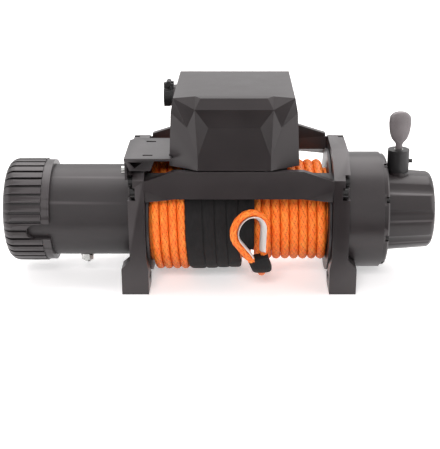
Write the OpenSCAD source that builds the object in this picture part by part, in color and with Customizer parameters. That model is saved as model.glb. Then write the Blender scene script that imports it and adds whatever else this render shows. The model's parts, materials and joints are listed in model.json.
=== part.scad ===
// Electric recovery winch with a synthetic rope. Sizes are in millimetres.
// X runs along the drum from the motor to the gearbox, Y to the rear and Z up.
// The origin is the middle of the four mounting bolts, on the plane of the feet.

/* [Mounting] */
// Distance between the mounting bolts along the drum
bolt_span_x = 254; // [250:1:258]
// Distance between the mounting bolts across the drum
bolt_span_y = 114.3; // [110:0.1:120]
// Diameter of the holes for the mounting bolts
bolt_hole_d = 11; // [9:0.5:13]
// Height of the drum axis above the feet
axis_h = 83; // [82:1:92]

/* [Supports] */
// Thickness of a drum support
support_t = 20; // [18:1:24]
// Depth of the supports, front to rear
support_depth = 160; // [156:1:170]
// Height of the supports above the drum axis
support_rise = 87; // [86:1:92]
// Run of the sloped corners at the top of a support, along its depth
corner_l = 43.5; // [38:0.5:48]
// Fall of the sloped corners
corner_h = 23.3; // [20:0.1:26]
// Distance from a bolt line to the inner face of its support
support_inset = 14.3; // [12:0.1:15]
// Width of a foot along the drum
foot_w = 33; // [30:1:36]
// Height of the straight part of a foot
foot_h = 33; // [28:1:36]
// Height of the arch between the feet
arch_h = 26; // [20:1:30]

/* [Tie bars] */
// Height of the end of a tie bar
bar_end_h = 27.5; // [24:0.5:30]
// Height of the middle of the front tie bar
bar_mid_h = 34.3; // [30:0.1:36]
// Height of the lower edge of the front tie bar above the drum axis
bar_front_rise = 35.8; // [32:0.1:38]
// Height of the lower edge of the rear tie bar above the drum axis
bar_rear_rise = 57; // [54:1:58]

/* [Drum and rope] */
// Outer diameter of the drum tube
drum_tube_d = 63.5; // [60:0.5:70]
// Diameter of the drum flanges
drum_flange_d = 154; // [150:1:156]
// Thickness of a drum flange
drum_flange_t = 3; // [3:0.5:5]
// Diameter of the rope
rope_d = 10; // [8:0.5:10.5]
// Outer diameter of the winding on the motor side
left_layer_d = 152; // [142:1:152]
// Outer diameter of the winding on the gearbox side
right_layer_d = 127; // [120:1:134]
// Width of the rope sleeve, flattened on the drum
sleeve_w = 13.8; // [12:0.2:14.4]
// Thickness of the rope sleeve on the drum
sleeve_t = 9; // [8:0.5:10]

/* [Motor] */
// Diameter of the motor tube
motor_d = 114.4; // [110:0.2:118]
// Length of the motor tube outside its end cap
motor_l = 98.5; // [92:0.5:110]
// Wall of the motor tube
motor_wall = 5; // [4:0.5:6]
// Thickness of the end cap over its ribs
cap_over = 7.5; // [6.4:0.1:9]
// Length of the end cap
cap_l = 58; // [54:1:66]
// Number of ribs round the end cap
cap_ribs = 36; // [24:2:40]

/* [Gearbox] */
// Outer diameter of the gear housing
housing_d = 146; // [144:1:150]
// Length of the gear housing
housing_l = 43; // [42:1:46]
// Wall of the gear housing
housing_wall = 9; // [8.5:0.1:9.2]
// Thickness of the flange of the end cover
flange_t = 7; // [6:0.5:9]
// Diameter of the end cover where it leaves its flange
cover_d = 104; // [102:1:108]
// Length of the end cover past its flange
cover_l = 59.5; // [54:0.5:64]
// Number of cover screws, with a flute between each two
cover_screws = 9; // [8:1:12]

/* [Gear train] */
// Module of the second and third stages
gear_module = 1.75; // [1.7:0.01:1.76]
// Module of the first stage
first_module = 1.15; // [1.1:0.01:1.2]
// Tooth backlash of every gear
gear_backlash = 0.14; // [0.1:0.01:0.2]
// Face width of the first stage
first_face_w = 15; // [12:0.5:16]
// Face width of the second stage
second_face_w = 12; // [10:0.5:12]
// Face width of the third stage
third_face_w = 18; // [16:0.5:18]
// Distance across the flats of the hexagonal drive shaft
hex_flats = 8.5; // [7:0.5:9]

/* [Clutch] */
// Diameter of the clutch collar
collar_d = 27; // [26:0.5:30]
// Height of the top of the collar above the drum axis
collar_rise = 79; // [76:1:84]
// Height of the clutch knob above its collar
knob_h = 48; // [42:1:54]
// Width of the clutch knob
knob_w = 27.5; // [24:0.5:30]
// Diameter of the clutch plunger
plunger_d = 11; // [9:0.5:12]

/* [Control box] */
// Width of the control box at its foot
box_w = 154; // [148:1:158]
// Depth of the control box
box_depth = 140; // [136:1:146]
// Height of the control box
box_h = 88.5; // [86:0.5:96]
// Height of the foot of the control box above the drum axis
box_rise = 77; // [76:0.5:80]
// Wall of the control box
box_wall = 3; // [2:0.5:3.5]
// Thickness of the bracket sheet
bracket_t = 3; // [2:0.5:3.5]

/* [Hidden] */
$fn = 96;

over = 1; // overrun of every cut
slip = 0.05; // radial clearance of a running fit
fit_gap = 0.1; // clearance of a screw in its hole
free_gap = 0.35; // gap between bodies that move past each other

// Supports and tie bars
x_in = bolt_span_x / 2 - support_inset; // inner face of a support
x_out = x_in + support_t; // outer face of a support
foot_flare = 12; // height over which a foot flares out of its stem
arch_r = 46; // radius of the arch between the feet
foot_nut_w = 17.5; // square nut pocket in a foot
foot_nut_h = 9;
foot_nut_rise = 11;
bushing_t = 3;
bushing_l = 17;
slot_w = 5; // lifting slot in the top of a support
slot_l = 7;
slot_deep = 2.5;
slot_y = 29;
pocket_deep = 9; // recess for the tie bar screws
pocket_gap = 1.5;
ledge_deep = 6.5;
screw_low_y = 6.5; // places of the two screws at each end of a tie bar
screw_low_z = 11;
screw_high_y = 16;
screw_high_z = 21.5;
pocket_rise = 3; // the upper front recess opens to the sloped corner
rear_low_y = 12;
rear_low_z = 6;
rear_high_y = 27;
rear_high_z = 14;
front_y = -support_depth / 2;
bar_front_z = axis_h + bar_front_rise;
bar_rear_z = axis_h + bar_rear_rise;
bar_land = 37; // depth of the flat top of a tie bar
bar_clear = 2; // gap from the drum flange to the tie bars
bar_hollow_r = drum_flange_d / 2 + bar_clear;
bar_low_lip = 5; // rise of the lower edge of the front bar in its middle
bar_top_lip = bar_low_lip + bar_mid_h - bar_end_h;
bar_ramp = 34; // length of the ramp of the lip
bar_shoulder = 2; // flat part of the bar beside a support
bar_facet_l = 46; // facet at each lower end of the front bar
bar_facet_h = 22;
bar_facet_deep = 3.5;
lip_t = 9; // thickness of the lip of the front bar
rear_end_h = support_rise - bar_rear_rise - fit_gap;
rear_lip_h = 10.7; // rise of the front lip of the rear bar over the supports
rear_lip_t = 9;
screw_d = 8;
screw_head_d = 13;
screw_head_h = 6;
screw_bite = 22; // thread length in a tie bar

// Drum and rope
drum_gap = 0.7;
x_drum = x_in - drum_gap; // outer face of a drum flange
x_wind = x_drum - drum_flange_t; // inner face of a drum flange
journal_t = 2; // step from the drum tube to its journal
journal_r = drum_tube_d / 2 - journal_t;
journal_l = drum_gap + bushing_l;
bore_r = 23.5; // bore of the drum
anchor_hole_d = 11;
wind_gap = 0.5; // least space between two turns
wind_pitch = rope_d + wind_gap;
sleeve_gap = 0.6;
sleeve_pitch = sleeve_w + sleeve_gap;
wind_side = 0.4; // space between a flange and the first turn
wind_steps = 24; // steps of a winding in one turn
left_r = left_layer_d / 2 - rope_d / 2;
right_r = right_layer_d / 2 - rope_d / 2;
sleeve_step = 2.4; // fall of the sleeve along the drum
left_turns = 3.5;
sleeve_turns = 4.3;
left_x0 = -x_wind + rope_d / 2 + wind_side;
left_x1 = left_x0 + left_turns * wind_pitch;
sleeve_x0 = left_x1 + rope_d / 2 + sleeve_w / 2 + wind_side;
sleeve_x1 = sleeve_x0 + sleeve_turns * sleeve_pitch;
sleeve_r0 = left_layer_d / 2 - sleeve_t / 2;
right_x0 = sleeve_x1 + sleeve_w / 2 + rope_d / 2 + wind_side;
right_x1 = x_wind - rope_d / 2 - wind_side;
right_turns = floor((right_x1 - right_x0) / (wind_pitch + wind_gap) * 2) / 2;
right_pitch = (right_x1 - right_x0) / right_turns;
core_gap = 0.3;

// Rope end, which stands in front of the winding
front_r = left_layer_d / 2 + free_gap; // nothing that turns reaches past this
eye_rope_d = 9.4;
thimble_w = 15; // width of the thimble channel
thimble_t = 1.5;
rim_h = 2.5; // rims of the channel, over its floor
eye_round_r = 15.6; // inner radius of the round end
eye_l = 29; // from the centre of the round end to the nose
nose_r = 6; // half of the gap between the legs at the nose
eye_lean = 17; // angle of lean, in degrees
eye_turn = 28; // the right side of the eye stands further back
eye_past = 5.6; // from the middle of the sleeve's last turn
eye_x = sleeve_x1 + eye_past;
eye_rise = 2.8; // centre of the round end over the axis
eye_gap = 1; // from the winding to the thimble
// place across the eye where its back passes the end of the sleeve
eye_side = (sleeve_x1 + sleeve_w / 2 - eye_x + thimble_w / 2 * sin(eye_turn)) / cos(eye_turn);
// depth at which the eye clears the sleeve on its left and the winding on its right
eye_left = front_r - sleeve_step + eye_side * sin(eye_turn);
eye_right = right_layer_d / 2 + free_gap + (eye_round_r + thimble_t + rim_h) * sin(eye_turn);
eye_y = -(max(eye_left, eye_right) + eye_gap + thimble_w / 2 * cos(eye_turn));
eye_steps = 18;
groove_r = eye_round_r + thimble_t + core_gap + eye_rope_d / 2;
foot_x = 9.3; // half of the distance between the legs of the eye
foot_l = 37.5;
// angle at which the legs leave the round end
eye_tip = asin(eye_round_r / norm([nose_r, eye_l])) - atan(nose_r / eye_l);
leg_over = 3; // run of the rope past the legs of the thimble
leg_bend = 1.5; // straight end of the rope in front of the cuff
eye_leg_x = nose_r + (thimble_t + core_gap + eye_rope_d / 2) / cos(eye_tip)
    - leg_over * tan(eye_tip);
cuff_w = 28;
cuff_gap = 0.5; // from the cuff to the rope's two legs
cuff_lead = 4; // straight start of the cuff
cuff_t = 16;
// route of the cuff and the tail under the drum: X past the eye, Y and height over the axis
cuff_route = [[13.5, -77.5, -44], [14.5, -72, -50]];
tail_route = [[14.6, -71.2, -50.8], [15, -65.7, -56.8], [15, -55, -63.5], [15, -42, -67.5],
    [15, -28, -68], [14, -14, -68.6], [13, 0, -68.85]];

// Motor
motor_r = motor_d / 2;
motor_in_r = motor_r - motor_wall;
x_cap = -x_out - motor_l; // rim of the end cap
x_cap_end = x_cap - cap_l;
rib_h = 2.6;
cap_r_out = motor_r + cap_over;
cap_base_r = cap_r_out - rib_h;
rib_w = 7.8;
rib_start = 10; // smooth band at the rim of the cap
cap_wall = 3.5;
cap_round = 11;
cap_step = 1.2;
tube_tuck = 34; // length of the motor tube under its cap
cutout_w = 21;
cutout_l = 28;
cutout_angle = -7;
plate_t = 7;
motor_bearing_r = 15;
motor_shaft_r = 8;
brush_plate_t = 4;
x_brush = x_cap - tube_tuck + brush_plate_t + over;
air_gap = 1.5;
armature_r = 36;
armature_l = 70;
coil_over = 9;
x_armature = -x_out - plate_t - armature_l - coil_over;
pole_r = armature_r + air_gap;
pole_angle = 52;
coil_angle = 32;
commutator_r = 20;
commutator_l = 20;
brush_l = 14;
brush_w = 10;
brush_share = 0.8; // length of a brush over that of the commutator
coil_pitch = 90; // angle between two poles, in degrees
armature_slots = 14;
armature_slot_w = 4;
slot_depth = 9;
bolt_over = 5; // shaft and bolt ends past the brush plate
plate_spigot_share = 0.1;
stud_d = 8;
stud_l = 20;
stud_nut_h = 6.5;
nut_share = 0.94; // corner radius of a nut over its thread
terminal_pitch = 24;
terminal_pad = 8;
terminal_rise = 4;
terminal_z = 20;
terminal_share = 0.8;
terminal_inset = 24;
terminal_x = x_cap + terminal_inset;
through_r = 4;
ground_inset = 61;
ground_x = -x_out - ground_inset;
ground_angle = 14;
ground_d = 8;
ground_l = 10;
washer_t = 1.6;
washer_r = 8.5;
ground_nut_h = 6;
x_tail = x_brush - brush_plate_t - bolt_over;
x_through = -x_out - x_tail;
brake_inset = 10;
coupler_l = 36;
coupler_r = 14;
x_brake = -x_out + brake_inset;
x_hex = x_brake + coupler_l / 2;
x_shaft = x_hex - x_tail;
cone_l = 9;
cone_fall = 2.5;

// Gear train, with twelve, twenty-seven and sixty-six teeth in every stage
sun_teeth = 12;
planet_teeth = 27;
ring_teeth = sun_teeth + 2 * planet_teeth;
pressure_angle = 20;
addendum_share = 0.85;
dedendum_share = 1.2;
housing_r = housing_d / 2;
housing_in_r = housing_r - housing_wall;
side_gap = 1; // end float beside every gear
web_t = 4; // thickness of a carrier plate
x_carrier3 = x_out + side_gap;
x_gear3 = x_carrier3 + web_t + side_gap;
x_carrier2 = x_gear3 + third_face_w + side_gap;
x_gear2 = x_carrier2 + web_t + side_gap;
x_flange = x_out + housing_l;
x_cover = x_flange + flange_t;
x_carrier1 = x_cover + side_gap;
x_gear1 = x_carrier1 + web_t + side_gap;
arm_r = (sun_teeth + planet_teeth) * gear_module / 2;
first_arm_r = (sun_teeth + planet_teeth) * first_module / 2;
pin_r = 6;
first_pin_r = 4;
pin_edge = 4; // rim of a carrier round its pins
gear_plate_r = arm_r + pin_r + pin_edge;
first_plate_r = first_arm_r + first_pin_r + pin_edge;
hub_l = 20; // depth of the output hub in the drum
hex_gap = 0.6; // clearance of the suns round the shaft
hex_r = hex_flats / sqrt(3);
ring_wall = 3.2;
lock_notches = 6;
lock_ring_r = ring_teeth * first_module / 2 + dedendum_share * first_module + ring_wall;
lock_notch_deep = 2.2;
cover_wall = 5;
cover_draft_share = 0.93; // end diameter over flange diameter
cover_r = cover_d / 2;
cover_end_r = cover_r * cover_draft_share;
cover_round = 8;
cover_round_steps = 6;
flange_step = 2.4;
flange_r = housing_r - flange_step;
cover_screw_d = 4;
cover_head_d = 7.4;
screw_edge = 4.2;
flange_chamfer = 2;
screw_ring_r = flange_r - screw_edge;
cover_head_h = 4;
cover_seat = 4.5; // depth of a screw seat below the flange face
cover_screw_l = 15;
flute_r = 26;
flute_deep = 2.6;
flute_lead = 2.5;
flute_tilt = atan((cover_r - cover_end_r) / cover_l);
screw_angle = 28.5; // first screw, up from the front, in degrees

// Clutch
clutch_shift = 2.8;
clutch_x = x_gear1 + first_face_w / 2 + clutch_shift;
collar_base_d = 33;
collar_base_h = 2;
collar_in_r = 9;
collar_seat = axis_h + cover_r - over;
collar_top = axis_h + collar_rise;
collar_lid = 5;
plunger_tip_r = 4.5;
plunger_z = axis_h + lock_ring_r - lock_notch_deep + free_gap;
plunger_flange_z = axis_h + cover_r - over;
plunger_flange_h = 3;
spring_wire = 1.6;
spring_turns = 4;
neck_share = 0.6;
knob_neck_r = 4.6;
knob_t = 13;
knob_neck_h = 8;
knob_gap = 0.4;
belly_share = 0.78; // width of the belly over that of the knob
belly_rise_share = 0.36; // its height over that of the knob
set_screw_d = 5;
set_screw_l = 8;
set_screw_drop = 15;

// Control box
box_x = -5.5; // centre of the box along the drum
box_y0 = -86; // foremost point of the box
box_z = axis_h + box_rise;
// corners of one half of the cover: share of the half width, of the depth, of the height
half_shares = [
    [0.890, 1.000, 1.000], [0.944, 0.042, 1.000], [0.588, 0.116, 1.000],
    [0.502, 0.011, 1.000], [0.592, 0.000, 0.850], [0.392, 0.057, 0.577],
    [0.547, 0.028, 0.240], [0.549, 0.007, 0.000], [0.976, 0.171, 0.000],
    [0.930, 0.135, 0.735], [0.701, 0.063, 0.567], [1.000, 1.000, 0.000]
];
half_n = len(half_shares);
bracket_z = axis_h + support_rise;
bracket_x0 = -x_out - bracket_t;
bracket_step_x = box_x - box_w / 2 - over;
bracket_reach = 68; // reach of the bracket to the right of the box centre
bracket_y0 = -76;
bracket_seat_gap = 0.3;
bracket_y1 = support_depth / 2 - bar_land - bracket_seat_gap;
bracket_in_y = -58; // front edge of the bracket inside the box
bracket_mid_y = 12;
bracket_flange_h = 12;
bracket_ear = 4; // corner of the sheet in front of the box's side
bracket_slot_w = 4.5;
bracket_slot_l = 12;
slot_shift = 2;
slot_x0 = -x_in - slot_shift; // left end of the slots
bracket_front_l = 37;
bracket_round = 14; // rear corner beside the support
bracket_round_steps = 8;
side_y0 = -72; // side flange on the outer face of the support
side_y1 = 5;
side_h = 25;
side_screw_inset = 20;
side_screw_drop = 18;
leg_w = 16;
leg_x = 50;
base_t = 3;
base_inset = 6;
base_cut = 25;
base_back = 55;
base_front = 40;
base_z = bracket_z + bracket_t;
base_screw_y0 = -52;
base_screw_y1 = 30;
small_screw_d = 6;
small_head_d = 9;
small_head_h = 5.5;
small_screw_l = 14;
part_gap = 3; // space between the pieces in the box
contactor_l = 58;
contactor_h = 44;
contactor_y = -45;
contactor_foot = 4;
contactor_stud_h = 12;
bus_t = 2;
receiver_w = 26;
receiver_l = 60;
receiver_h = 20;
receiver_round = 3;
socket_y = 8;
socket_drop = 20.7; // socket axis below the top of the box
socket_r = 9.5;
socket_l = 16;
socket_nose = 4;
socket_wall = 1.5;
socket_pins = 5;
socket_deep = 9;
pin_d = 2;
pin_l = 7;
socket_flange_t = 2.5;
socket_flange_r = 12.5;
pad_t = 3;
pad_r = 14;
side_share = 0.93; // half width at the socket over that of the foot
socket_z = box_z + box_h - socket_drop;
socket_x = box_x - box_w / 2 * side_share;
socket_face_x = socket_x - pad_t - socket_flange_t;
cap_r = 12.6;
cap_h = 9;
cap_skin = 1.6;
cap_gap = 0.3;
cap_play = 0.9; // of the cap round the socket, so that it swings
cap_teeth = 20;
cap_tooth_w = 1.6;
cap_tooth_h = 0.7;
hinge_r = 3;
hinge_l = 9;
hinge_pin_r = 1.2;
hinge_lug_l = 3;
hinge_rise = 17;
hinge_out = 3.4;
hinge_x = socket_face_x - hinge_out;
hinge_z = socket_z + hinge_rise;
contactor_x = socket_x + socket_l + part_gap;
receiver_x = 2 * box_x - socket_x - base_inset - receiver_w;
contactor_w = receiver_x - part_gap - contactor_x;

// Helpers
module along(x0, length, r) {
    translate([x0, 0, axis_h]) rotate([0, 90, 0]) cylinder(h = length, r = r);
}
module pipe(x0, length, r_out, r_in) {
    difference() {
        along(x0, length, r_out);
        along(x0 - over, length + 2 * over, r_in);
    }
}
module yz(x0, length) {
    translate([x0, 0, 0]) rotate([90, 0, 90]) linear_extrude(length) children();
}
module on_axle(x0, length) {
    translate([x0, 0, axis_h]) rotate([90, 0, 90]) linear_extrude(length) children();
}
module xz(y0, length) {
    translate([0, y0 + length, 0]) rotate([90, 0, 0]) linear_extrude(length) children();
}
module block(x0, x1, y0, y1, z0, z1) {
    translate([x0, y0, z0]) cube([x1 - x0, y1 - y0, z1 - z0]);
}
module turned(x0) {
    translate([x0, 0, axis_h]) rotate([0, 90, 0]) rotate_extrude() children();
}
// A turned solid from points of place along the axis and radius
module lathe(x0, profile) {
    turned(x0) polygon([for (p = profile) [p[1], p[0]]]);
}
module screw(d, l, head_d, head_h) {
    translate([0, 0, -l]) cylinder(h = l, r = d / 2);
    difference() {
        cylinder(h = head_h, r = head_d / 2);
        translate([0, 0, head_h / 2]) cylinder(h = head_h, r = d / 2, $fn = 6);
    }
}
function unit(v) = v / norm(v);
function polar(r, a) = [r * cos(a), r * sin(a)];

// A tube along path, with ups as its outward directions and two half sizes
function ring_at(p, t, up, ru, rv, sides) =
    let (u = unit(up - (up * t) * t), w = cross(t, u))
    [for (j = [0:sides - 1]) p + ru * cos(360 * j / sides) * u + rv * sin(360 * j / sides) * w];
function tangent(path, i) =
    unit(path[min(i + 1, len(path) - 1)] - path[max(i - 1, 0)]);
module tube(path, ups, ru, rv, sides = 6) {
    n = len(path);
    points = [for (i = [0:n - 1])
        each ring_at(path[i], tangent(path, i), ups[i], ru, rv, sides)];
    walls = [for (i = [0:n - 2], j = [0:sides - 1], k = [0, 1])
        let (a = i * sides + j, b = i * sides + (j + 1) % sides)
        k == 0 ? [a, b + sides, b] : [a, a + sides, b + sides]];
    first = [for (j = [1:sides - 2]) [0, j, j + 1]];
    last = [for (j = [1:sides - 2]) (n - 1) * sides * [1, 1, 1] + [0, j + 1, j]];
    polyhedron(points = points, faces = concat(walls, first, last));
}
// Centre line of a winding round the drum: steps to a turn, with straight ends
function wind_point(x0, pitch, r0, fall, a) =
    let (s = a / 360) [x0 + pitch * s, -(r0 - fall * s) * sin(a), axis_h + (r0 - fall * s) * cos(a)];
function wind_up(a) = [0, -sin(a), cos(a)];
function winding(x0, pitch, r0, fall, turns, steps, tail) =
    let (
        n = ceil(turns * steps),
        p = [for (i = [0:n]) wind_point(x0, pitch, r0, fall, 360 * turns * i / n)],
        t0 = unit(p[0] - p[1]), t1 = unit(p[n] - p[n - 1])
    ) concat([p[0] + t0 * tail], p, [p[n] + t1 * tail]);
function winding_ups(turns, steps) =
    let (n = ceil(turns * steps), u = [for (i = [0:n]) wind_up(360 * turns * i / n)])
    concat([u[0]], u, [u[n]]);
function least_gap(path, width, apart) =
    min([for (i = [0:len(path) - 1], j = [i + apart:len(path) - 1]) norm(path[i] - path[j])])
    - width;

// Involute tooth, half of its angle at radius r
function involute(a) = tan(a) * 180 / PI - a;
function tooth_half(teeth, m, r, play) =
    let (base = teeth * m / 2 * cos(pressure_angle))
    90 / teeth + involute(pressure_angle) - involute(acos(min(1, base / max(r, base))))
    - play / (teeth * m) * 180 / PI;
function gear_points(teeth, m, radii, play) = [
    for (i = [0:teeth - 1])
        each concat(
            [for (r = radii) polar(r, 360 * i / teeth - tooth_half(teeth, m, r, play))],
            [for (k = [len(radii) - 1:-1:0])
                polar(radii[k], 360 * i / teeth + tooth_half(teeth, m, radii[k], play))])
];
function outer_radii(teeth, m) = [
    teeth * m / 2 - dedendum_share * m,
    teeth * m / 2,
    teeth * m / 2 + addendum_share * m
];
function inner_radii(teeth, m) = [
    teeth * m / 2 - addendum_share * m,
    teeth * m / 2,
    teeth * m / 2 + dedendum_share * m
];
module gear_shape(teeth, m) {
    polygon(gear_points(teeth, m, outer_radii(teeth, m), gear_backlash));
}
module ring_space(m) {
    rotate(90) polygon(gear_points(ring_teeth, m, inner_radii(ring_teeth, m), -gear_backlash));
}
module sun_shape(m) {
    difference() {
        rotate(90) gear_shape(sun_teeth, m);
        circle(r = hex_r + hex_gap);
    }
}
module planet(x0, width, m, reach, hole_r, k) {
    color("darkgray") on_axle(x0, width) rotate(90 + 120 * k) translate([reach, 0])
        difference() {
            gear_shape(planet_teeth, m);
            circle(r = hole_r + slip);
        }
}
module carrier(x0, plate_r, reach, pin, pin_l, hole_r) {
    difference() {
        union() {
            along(x0, web_t, plate_r);
            on_axle(x0 + web_t, pin_l)
                for (k = [0:2]) rotate(90 + 120 * k) translate([reach, 0]) circle(r = pin);
            on_axle(x0 + web_t, side_gap / 2)
                for (k = [0:2]) rotate(90 + 120 * k) translate([reach, 0]) circle(r = pin * 1.5);
        }
        along(x0 - over, web_t + 2 * over, hole_r);
    }
}

// Supports
module support_outline() {
    top = axis_h + support_rise;
    polygon([
        [front_y, 0], [-front_y, 0], [-front_y, top - corner_h], [-front_y - corner_l, top],
        [front_y + corner_l, top], [front_y, top - corner_h]
    ]);
}
module foot_outline() {
    mid = bolt_span_x / 2;
    polygon([
        [mid - foot_w / 2, 0], [mid + foot_w / 2, 0], [mid + foot_w / 2, foot_h],
        [x_out, foot_h + foot_flare], [x_in, foot_h + foot_flare], [mid - foot_w / 2, foot_h]
    ]);
}
// Places on the outer face of the motor side support, with local Z pointing outwards
module bracket_screw_places() {
    for (y = [side_y0 + side_screw_inset, side_y1 - side_screw_inset])
        translate([-x_out, y, bracket_z - side_screw_drop]) rotate([0, -90, 0]) children();
}
module support() {
    color("dimgray") difference() {
        union() {
            yz(x_in, support_t) support_outline();
            xz(front_y, support_depth) foot_outline();
        }
        // arch between the feet
        translate([x_in - foot_w, 0, arch_h - arch_r]) rotate([0, 90, 0])
            cylinder(h = support_t + 2 * foot_w, r = arch_r);
        // room for the drum flange and for the motor or the gearbox
        along(x_in - foot_w, foot_w, drum_flange_d / 2 + bar_clear);
        along(x_out, foot_w, housing_r + fit_gap);
        // seat of the bushing
        along(x_in - over, support_t + 2 * over, journal_r + bushing_t);
        for (s = [-1, 1]) {
            translate([bolt_span_x / 2, s * bolt_span_y / 2, -over])
                cylinder(h = foot_h + foot_flare + 2 * over, r = bolt_hole_d / 2);
            // pocket that holds a square nut from the inner side
            block(bolt_span_x / 2 - foot_w, bolt_span_x / 2 + foot_nut_w / 2,
                s * bolt_span_y / 2 - foot_nut_w / 2, s * bolt_span_y / 2 + foot_nut_w / 2,
                foot_nut_rise, foot_nut_rise + foot_nut_h);
        }
        // lifting slot in the top
        block(x_out - slot_l, x_out + over, slot_y - slot_w / 2, slot_y + slot_w / 2,
            bracket_z - slot_deep, bracket_z + over);
        bar_pockets(front_y, 1, bar_front_z, front_places);
        bar_pockets(-front_y, -1, bar_rear_z, rear_places);
    }
}
// Stepped recesses and holes for the screws of one tie bar
module bar_pockets(y, s, z, places) {
    for (k = [0, 1]) {
        deep = k == 0 ? pocket_deep : ledge_deep;
        ys = y + s * places[k][0];
        r = screw_head_d / 2 + pocket_gap;
        block(x_out - deep, x_out + over, min(y - s * over, ys + s * r),
            max(y - s * over, ys + s * r), z + places[k][1] - r, z + places[k][1] + r + places[k][2]);
        translate([0, ys, z + places[k][1]]) rotate([0, 90, 0])
            cylinder(h = x_out + over, r = screw_d / 2 + fit_gap);
    }
}
// depth and height of each screw in a bar's end, and what its recess rises further
front_places = [[screw_low_y, screw_low_z, 0], [screw_high_y, screw_high_z, pocket_rise]];
rear_places = [[rear_low_y, rear_low_z, 0], [rear_high_y, rear_high_z, 0]];
module support_gear_side() { support(); }
module support_motor_side() {
    color("dimgray") difference() {
        mirror([1, 0, 0]) support();
        bracket_screw_places() translate([0, 0, -small_screw_l - over])
            cylinder(h = small_screw_l + 2 * over, r = small_screw_d / 2 + fit_gap);
    }
}
module drum_bushings() {
    color("goldenrod") for (s = [0, 1]) mirror([s, 0, 0])
        pipe(x_in, bushing_l, journal_r + bushing_t, journal_r + slip);
}

// Tie bars
module bar_section(y, s, z, top) {
    difference() {
        translate([min(y, y + s * bar_land), z]) square([bar_land, top]);
        translate([0, axis_h]) circle(r = bar_hollow_r);
    }
}
module bar_front_outline() {
    x1 = x_in - bar_shoulder;
    x2 = x1 - bar_ramp;
    lip = axis_h + bar_front_rise + bar_end_h + bar_top_lip;
    polygon([
        [x_in, bar_front_z], [x1, bar_front_z], [x2, bar_front_z + bar_low_lip],
        [-x2, bar_front_z + bar_low_lip], [-x1, bar_front_z], [-x_in, bar_front_z],
        [-x_in, bar_front_z + bar_end_h], [-x1, bar_front_z + bar_end_h],
        [-x2, lip], [x2, lip], [x1, bar_front_z + bar_end_h], [x_in, bar_front_z + bar_end_h]
    ]);
}
module bar_holes(y, s, z, places) {
    for (m = [0, 1], p = places) mirror([m, 0, 0])
        translate([x_in - screw_bite, y + s * p[0], z + p[1]]) rotate([0, 90, 0])
            cylinder(h = screw_bite + over, r = screw_d / 2 + fit_gap);
}
module bar_facet() {
    x = x_in + over;
    y = front_y - over;
    polyhedron(
        points = [
            [x, y, bar_front_z + bar_facet_h], [x, y, bar_front_z - over],
            [x, front_y + bar_facet_deep, bar_front_z - over],
            [x_in - bar_facet_l, y, bar_front_z + bar_low_lip - over]
        ],
        faces = [[0, 2, 1], [0, 1, 3], [1, 2, 3], [0, 3, 2]]);
}
module tie_bar_front() {
    color("dimgray") difference() {
        intersection() {
            yz(-x_in, 2 * x_in) bar_section(front_y, 1, bar_front_z, bar_end_h + bar_top_lip);
            xz(front_y, support_depth / 2) bar_front_outline();
        }
        // the lip is only a few millimetres thick behind the middle panel
        block(-x_in - over, x_in + over, front_y + lip_t, over, bar_front_z + bar_end_h, bracket_z);
        for (m = [0, 1]) mirror([m, 0, 0]) bar_facet();
        bar_holes(front_y, 1, bar_front_z, front_places);
    }
}
module bar_rear_outline() {
    x1 = x_in - bar_shoulder;
    x2 = x1 - bar_ramp;
    polygon([
        [x_in, bar_rear_z], [x1, bar_rear_z], [x2, bar_rear_z + bar_low_lip],
        [-x2, bar_rear_z + bar_low_lip], [-x1, bar_rear_z], [-x_in, bar_rear_z],
        [-x_in, bar_rear_z + rear_end_h], [x_in, bar_rear_z + rear_end_h]
    ]);
}
module rear_lip_outline() {
    x1 = x_in - bar_shoulder;
    x2 = x1 - bar_ramp;
    top = bar_rear_z + rear_end_h;
    polygon([
        [-x1, top], [-x2, bracket_z + rear_lip_h], [x2, bracket_z + rear_lip_h], [x1, top],
        [x1, top - rear_end_h / 2], [-x1, top - rear_end_h / 2]
    ]);
}
module tie_bar_rear() {
    color("dimgray") difference() {
        union() {
            intersection() {
                yz(-x_in, 2 * x_in) bar_section(-front_y, -1, bar_rear_z, rear_end_h);
                xz(0, support_depth / 2) bar_rear_outline();
                yz(-x_in, 2 * x_in) support_outline();
            }
            xz(support_depth / 2 - bar_land, rear_lip_t) rear_lip_outline();
        }
        bar_holes(-front_y, -1, bar_rear_z, rear_places);
    }
}
module bar_screw_set(y, s, z, places) {
    for (m = [0, 1], k = [0, 1]) mirror([m, 0, 0])
        translate([x_out - (k == 0 ? pocket_deep : ledge_deep), y + s * places[k][0],
            z + places[k][1]])
            rotate([0, 90, 0]) screw(screw_d, support_t, screw_head_d, screw_head_h);
}
module tie_bar_screws() {
    color("silver") {
        bar_screw_set(front_y, 1, bar_front_z, front_places);
        bar_screw_set(-front_y, -1, bar_rear_z, rear_places);
    }
}

// Drum and rope
module drum() {
    color("silver") difference() {
        union() {
            along(-x_drum - journal_l, 2 * (x_drum + journal_l), journal_r);
            along(-x_drum, 2 * x_drum, drum_tube_d / 2);
            for (m = [0, 1]) mirror([m, 0, 0]) along(x_wind, drum_flange_t, drum_flange_d / 2);
        }
        along(-x_drum - journal_l - over, 2 * (x_drum + journal_l + over), bore_r);
        // hole through which the rope is led to its clamp
        translate([-x_drum - over, 0, axis_h - drum_tube_d / 2 - anchor_hole_d]) rotate([0, 90, 0])
            cylinder(h = drum_flange_t + 2 * over, r = anchor_hole_d / 2);
    }
}
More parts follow.
